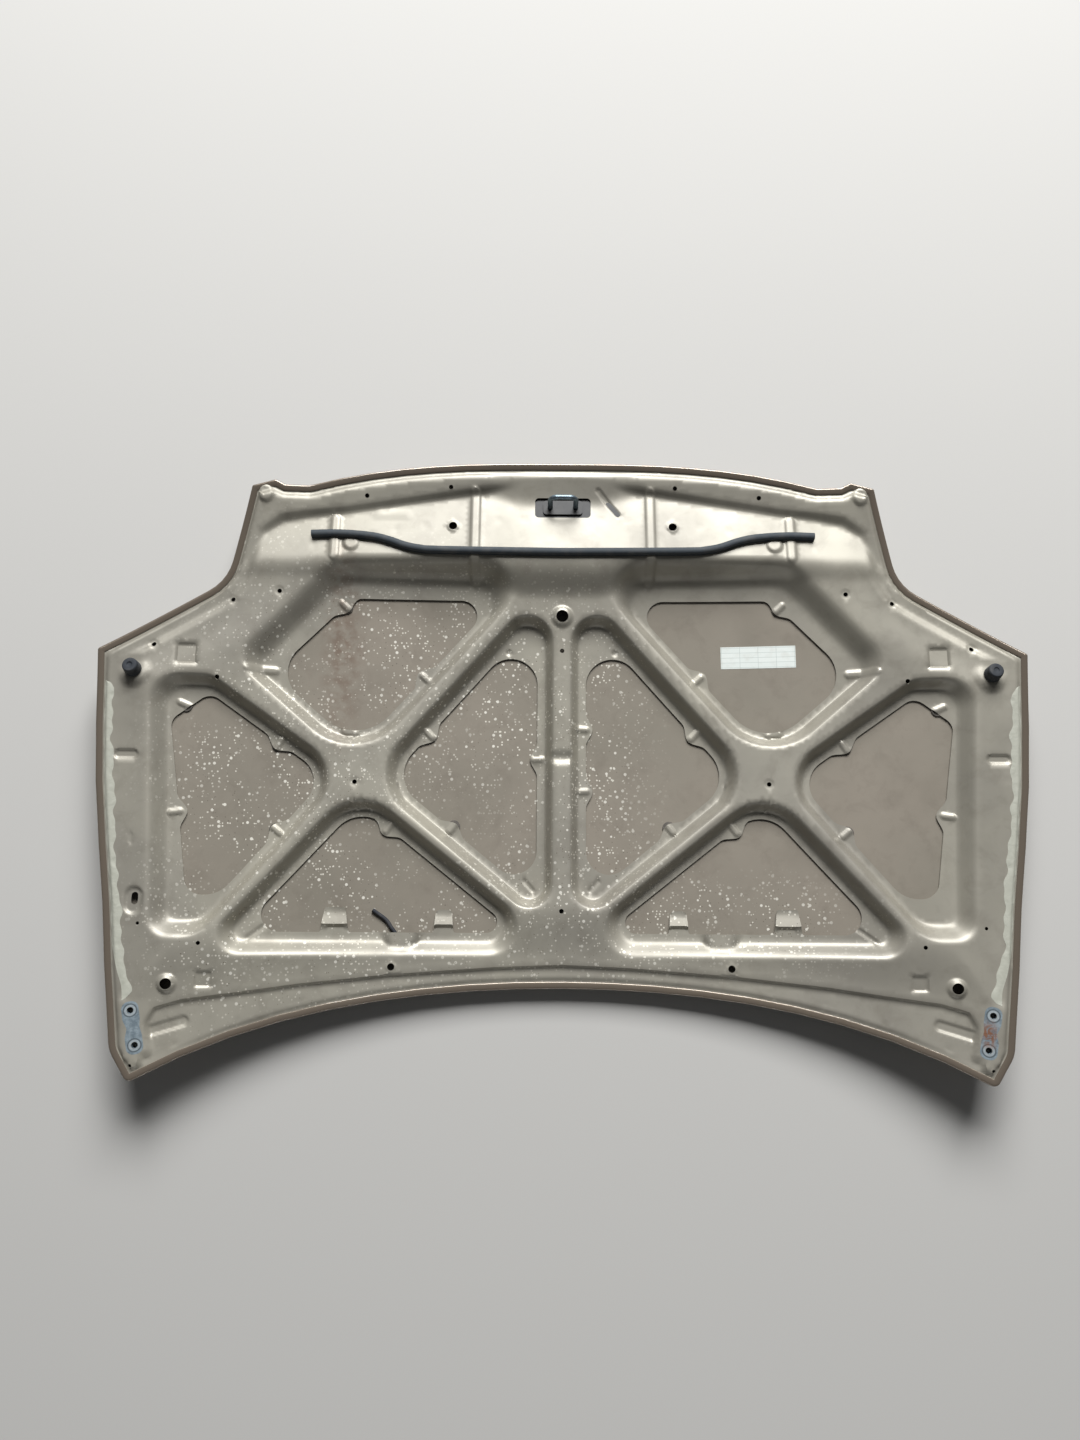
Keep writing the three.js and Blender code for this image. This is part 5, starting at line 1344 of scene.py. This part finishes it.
def make_striker():
    """The wire loop that the latch closes on, bent from round bar."""
    normal = Vector((0, SHELF_SLOPE, 1)).normalized()
    base = Vector((0, WINDOW_Y, shelf_height(WINDOW_Y))) - normal * PANEL_WALL / 2
    half = STRIKER_SPAN / 2
    top = STRIKER_BASE_WALL + STRIKER_HEIGHT - STRIKER_WIRE / 2
    flat = [(-half, z) for z in np.linspace(0, top - STRIKER_BEND, 8)]
    for centre, start in ((-half + STRIKER_BEND, math.pi), (half - STRIKER_BEND, math.pi / 2)):
        for k in range(1, BEND_STEPS + 1):
            turn = start - math.pi / 2 * k / BEND_STEPS
            z = top - STRIKER_BEND + STRIKER_BEND * math.sin(turn)
            flat.append((centre + STRIKER_BEND * math.cos(turn), z))
        if centre < 0:
            flat += [(x, top) for x in np.linspace(-half + STRIKER_BEND, half - STRIKER_BEND, 5)[1:-1]]
    flat += [(half, z) for z in np.linspace(top - STRIKER_BEND, 0, 8)[1:]]
    turn = Vector((0, 0, 1)).rotation_difference(normal)
    places = [(turn @ Vector((x, 0, z)) + base + SHIFT) * MM for x, z in flat]
    side = turn @ Vector((0, 1, 0))
    section = circle(0, 0, STRIKER_WIRE * MM, 20).tolist()
    loop = sweep("striker_wire", places, section, lambda i: side, ZINC)
    return declare(loop, "bare_steel", "striker_loop")


SEAL_STEPS = 260
SEAL_BULB_LEVEL = 5.4
# Right half of the seal's line along the shelf
SEAL_HALF = [
    (33, 294), (194, 296), (223, 298), (247, 303), (272, 312), (301, 319), (350, 323), (394, 322),
]


SPLINE_PIECES = 40


def spline(points, count):
    """A smooth curve through plan points, at even steps."""
    knots = [Vector((p[0], p[1], 0)) for p in points]
    dense = []
    for i in range(len(knots) - 1):
        before, start = knots[max(i - 1, 0)], knots[i]
        end, after = knots[i + 1], knots[min(i + 2, len(knots) - 1)]
        for k in range(SPLINE_PIECES):
            t = k / SPLINE_PIECES
            dense.append(0.5 * (
                2 * start + (end - before) * t + (2 * before - 5 * start + 4 * end - after) * t * t
                + (3 * start - before - 3 * end + after) * t**3
            ))
    dense.append(knots[-1])
    lengths = np.concatenate([[0], np.cumsum([(b - a).length for a, b in zip(dense, dense[1:])])])
    wanted = np.linspace(0, lengths[-1], count)
    across = np.interp(wanted, lengths, [p.x for p in dense])
    along = np.interp(wanted, lengths, [p.y for p in dense])
    return [Vector((x, y, 0)) for x, y in zip(across, along)]


def make_seal():
    """The sponge strip along the latch shelf: a flat foot with a round bulb on it."""
    route = [(-x, y) for x, y in reversed(SEAL_HALF)] + SEAL_HALF
    foot = PANEL_WALL / 2 + SEAT_GAP
    places = []
    for p in spline(route, SEAL_STEPS):
        places.append((Vector((p.x, p.y, shelf_height(p.y) + foot)) + SHIFT) * MM)
    half, high = SEAL_WIDTH / 2, SEAL_HEIGHT
    section = [(-half, 0), (half, 0), (half, 1.4), (half - 0.8, 2.0)]
    for k in range(9):
        turn = math.radians(-20 + 220 * k / 8)
        section.append((half * math.cos(turn), SEAL_BULB_LEVEL + (high - SEAL_BULB_LEVEL) * math.sin(turn)))
    section += [(-half + 0.8, 2.0), (-half, 1.4)]
    section = [(a * MM, b * MM) for a, b in section]
    seal = sweep("seal_strip", places, section, lambda i: Vector((0, SHELF_SLOPE, 1)), SEAL_RUBBER)
    return declare(seal, "seal_rubber", "front_seal")


def make_mastic_pads():
    """Dabs of mastic between flange and skin: one dab instanced on the pads' places."""
    places, normals = [], []
    for side in (-1, 1):
        lobes = [lobe for pocket in POCKETS.values() for lobe in pocket["lobes"]]
        for x, y, _ in lobes + SPINE_LOBES[side]:
            z = float(skin_height(x, y))
            slope_x = (float(skin_height(x + 1.0, y)) - z) * side
            slope_y = float(skin_height(x, y + 1.0)) - z
            places.append((side * x, y, z + SKIN_WALL / 2 + 0.15))
            normals.append(Vector((-slope_x, -slope_y, 1)).normalized())
    mesh = bpy.data.meshes.new("pad places")
    mesh.from_pydata(to_frame(places), [], [])
    direction = mesh.attributes.new("lie", "FLOAT_VECTOR", "POINT")
    direction.data.foreach_set("vector", [c for n in normals for c in n])
    pads = bpy.data.objects.new("mastic_dabs", mesh)
    bpy.context.scene.collection.objects.link(pads)

    tree = bpy.data.node_groups.new("mastic dabs", "GeometryNodeTree")
    tree.interface.new_socket("Geometry", in_out="INPUT", socket_type="NodeSocketGeometry")
    sizes = {}
    for name, value in (("Radius", MASTIC_DIAMETER / 2 * MM), ("Height", MASTIC_HEIGHT * MM)):
        socket = tree.interface.new_socket(name, in_out="INPUT", socket_type="NodeSocketFloat")
        sizes[socket.identifier] = value
    tree.interface.new_socket("Geometry", in_out="OUTPUT", socket_type="NodeSocketGeometry")
    inputs = tree.nodes.new("NodeGroupInput").outputs
    dab = add_node(tree, "GeometryNodeMeshCylinder", {
        "Radius": inputs["Radius"], "Depth": inputs["Height"], "Vertices": 28,
    }, fill_type="TRIANGLE_FAN")
    lie = add_node(tree, "GeometryNodeInputNamedAttribute", {"Name": "lie"}, data_type="FLOAT_VECTOR")
    turned = add_node(tree, "FunctionNodeAlignRotationToVector", {"Vector": lie}, axis="Z")
    scale = add_node(tree, "FunctionNodeRandomValue", data_type="FLOAT_VECTOR")
    set_inputs(tree, scale, {0: (0.88, 0.84, 1), 1: (1.0, 1.0, 1), "Seed": DAB_SEED})
    raised = add_node(tree, MATH, {0: inputs["Height"], 1: 0.5}, operation="MULTIPLY")
    lift = add_node(tree, "ShaderNodeCombineXYZ", {"Z": raised})
    moved = add_node(tree, "GeometryNodeTransform", {"Geometry": dab.outputs["Mesh"], "Translation": lift})
    copies = add_node(tree, "GeometryNodeInstanceOnPoints", {
        "Points": inputs["Geometry"], "Instance": moved, "Rotation": turned, "Scale": scale,
    })
    real = add_node(tree, "GeometryNodeRealizeInstances", {"Geometry": copies})
    painted = add_node(tree, "GeometryNodeSetMaterial", {"Geometry": real, "Material": MASTIC})
    add_node(tree, "NodeGroupOutput", {"Geometry": painted})
    modifier = pads.modifiers.new("Mastic dabs", "NODES")
    modifier.node_group = tree
    for identifier, value in sizes.items():
        modifier[identifier] = value
    bake(pads)
    bevel = pads.modifiers.new("Bevel", "BEVEL")
    bevel.width = 0.9 * MM
    bevel.segments = 3
    bevel.limit_method = "ANGLE"
    bake(pads)
    pads.data.shade_smooth()
    nodes = sorted(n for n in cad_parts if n.startswith("mastic_pad"))
    return declare(pads, "mastic", *nodes)


def make_label():
    """A blank label stuck on the skin, following its curve."""
    points = []
    for v in np.linspace(-0.5, 0.5, LABEL_ROWS) * LABEL_SIZE[1]:
        for u in np.linspace(-0.5, 0.5, LABEL_COLUMNS) * LABEL_SIZE[0]:
            x = LABEL_PLACE[0] + u * math.cos(LABEL_TURN) - v * math.sin(LABEL_TURN)
            y = LABEL_PLACE[1] + u * math.sin(LABEL_TURN) + v * math.cos(LABEL_TURN)
            points.append((x, y, float(skin_height(x, y)) + SKIN_WALL / 2 + LABEL_LIFT))
    faces = grid_faces(LABEL_ROWS, LABEL_COLUMNS)
    label = new_object("label_sheet", to_frame(points), faces, FILM, [wall(LABEL_WALL)])
    return declare(label, "label_film", "label")


HOSE_ROUTE = [
    (-180, -331), (-215, -325), (-240, -312), (-248, -295), (-256, -284), (-265, -272), (-285, -258),
]


def make_hose():
    """The washer hose: its free end lies on the skin, the rest goes in under the rear rib."""
    lift = SKIN_WALL / 2 + SEAT_GAP + HOSE_DIAMETER / 2
    route = []
    for p in spline(HOSE_ROUTE, 40):
        route.append((Vector((p.x, p.y, float(skin_height(p.x, p.y)) + lift)) + SHIFT) * MM)
    curve = bpy.data.curves.new("hose_tube", "CURVE")
    curve.dimensions = "3D"
    curve.bevel_depth = HOSE_DIAMETER / 2 * MM
    curve.bevel_resolution = 6
    curve.use_fill_caps = True
    line = curve.splines.new("POLY")
    line.points.add(len(route) - 1)
    for point, place in zip(line.points, route):
        point.co = (*place, 1)
    curve.materials.append(HOSE_RUBBER)
    hose = bpy.data.objects.new("hose_tube", curve)
    bpy.context.scene.collection.objects.link(hose)
    declare(hose, "seal_rubber", "washer_hose")
    return hose


def dress_cad_nodes():
    """The plates and nuts keep their solids: zinc on the hinge parts, primer on the latch parts."""
    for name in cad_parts:
        if name.startswith(("hinge_", "latch_", "striker_base")):
            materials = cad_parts[name].data.materials
            materials.clear()
            materials.append(ZINC if name.startswith("hinge_") else PRIMER)


# Stage

CAMERA_TARGET = Vector((-0.034, 0.0585, 0.050))
CAMERA_DISTANCE = 1.656
CAMERA_ELEVATION = math.radians(80)
CAMERA_ROLL = math.radians(0.38)
CAMERA_LENS = 27.05
# Half size of the floor, and how far it lies under the bonnet, in metres
FLOOR_HALF = 6.0
FLOOR_GAP = 0.0005


def add_camera():
    data = bpy.data.cameras.new("camera")
    data.lens = CAMERA_LENS
    data.sensor_width = 36
    camera = bpy.data.objects.new("camera", data)
    bpy.context.scene.collection.objects.link(camera)
    back = Vector((0, -math.cos(CAMERA_ELEVATION), math.sin(CAMERA_ELEVATION)))
    camera.location = CAMERA_TARGET + back * CAMERA_DISTANCE
    camera.rotation_mode = "QUATERNION"
    camera.rotation_quaternion = (-back).to_track_quat("-Z", "Y") @ Quaternion((0, 0, 1), CAMERA_ROLL)
    bpy.context.scene.camera = camera


def add_lamp(name, place, power, width, depth):
    """A rectangular soft lamp aimed at the middle of the bonnet, its width along X."""
    data = bpy.data.lights.new(name, "AREA")
    data.energy = power
    data.shape = "RECTANGLE"
    data.size = width
    data.size_y = depth
    lamp = bpy.data.objects.new(name, data)
    lamp.location = place
    lamp.rotation_mode = "QUATERNION"
    lamp.rotation_quaternion = (-Vector(place)).to_track_quat("-Z", "Y")
    bpy.context.scene.collection.objects.link(lamp)


def add_stage():
    world = bpy.data.worlds.new("studio")
    bpy.context.scene.world = world
    world.use_nodes = True
    tree = world.node_tree
    faint = tree.nodes["Background"]
    set_inputs(tree, faint, {"Color": "#F4F6F8", "Strength": 0.06})
    backdrop = add_node(tree, "ShaderNodeBackground", {"Color": "#DCDDDC", "Strength": 1.0})
    ray = add_node(tree, "ShaderNodeLightPath")
    either = add_node(tree, "ShaderNodeMixShader", {0: ray.outputs["Is Camera Ray"], 1: faint, 2: backdrop})
    set_inputs(tree, tree.nodes["World Output"], {"Surface": either})
    add_lamp("sky lamp", (0.5, 4.9, 4.1), 680, 4.2, 3.2)
    add_lamp("rear strip lamp", (0.0, -3.2, 0.6), 8, 2.6, 0.1)
    floor_material, tree, shader, _ = new_material("matt floor", "#C9C8C5", 0.9)
    set_inputs(tree, shader, {"Specular IOR Level": 0.1})
    ring = ((-1, -1), (1, -1), (1, 1), (-1, 1))
    corners = [(x * FLOOR_HALF, y * FLOOR_HALF, -FLOOR_GAP) for x, y in ring]
    mesh = bpy.data.meshes.new("floor")
    mesh.from_pydata(corners, [], [[0, 1, 2, 3]])
    mesh.materials.append(floor_material)
    floor = bpy.data.objects.new("floor", mesh)
    bpy.context.scene.collection.objects.link(floor)
    bpy.context.scene.view_settings.view_transform = "Standard"


add_camera()
make_hose()
make_inner_panel()
make_outer_skin()
make_striker()
make_seal()
make_mastic_pads()
make_label()
for side in (-1, 1):
    make_bump_stop(side)
    make_sealer_band(side)
    make_hinge_face(side)
dress_cad_nodes()
add_stage()
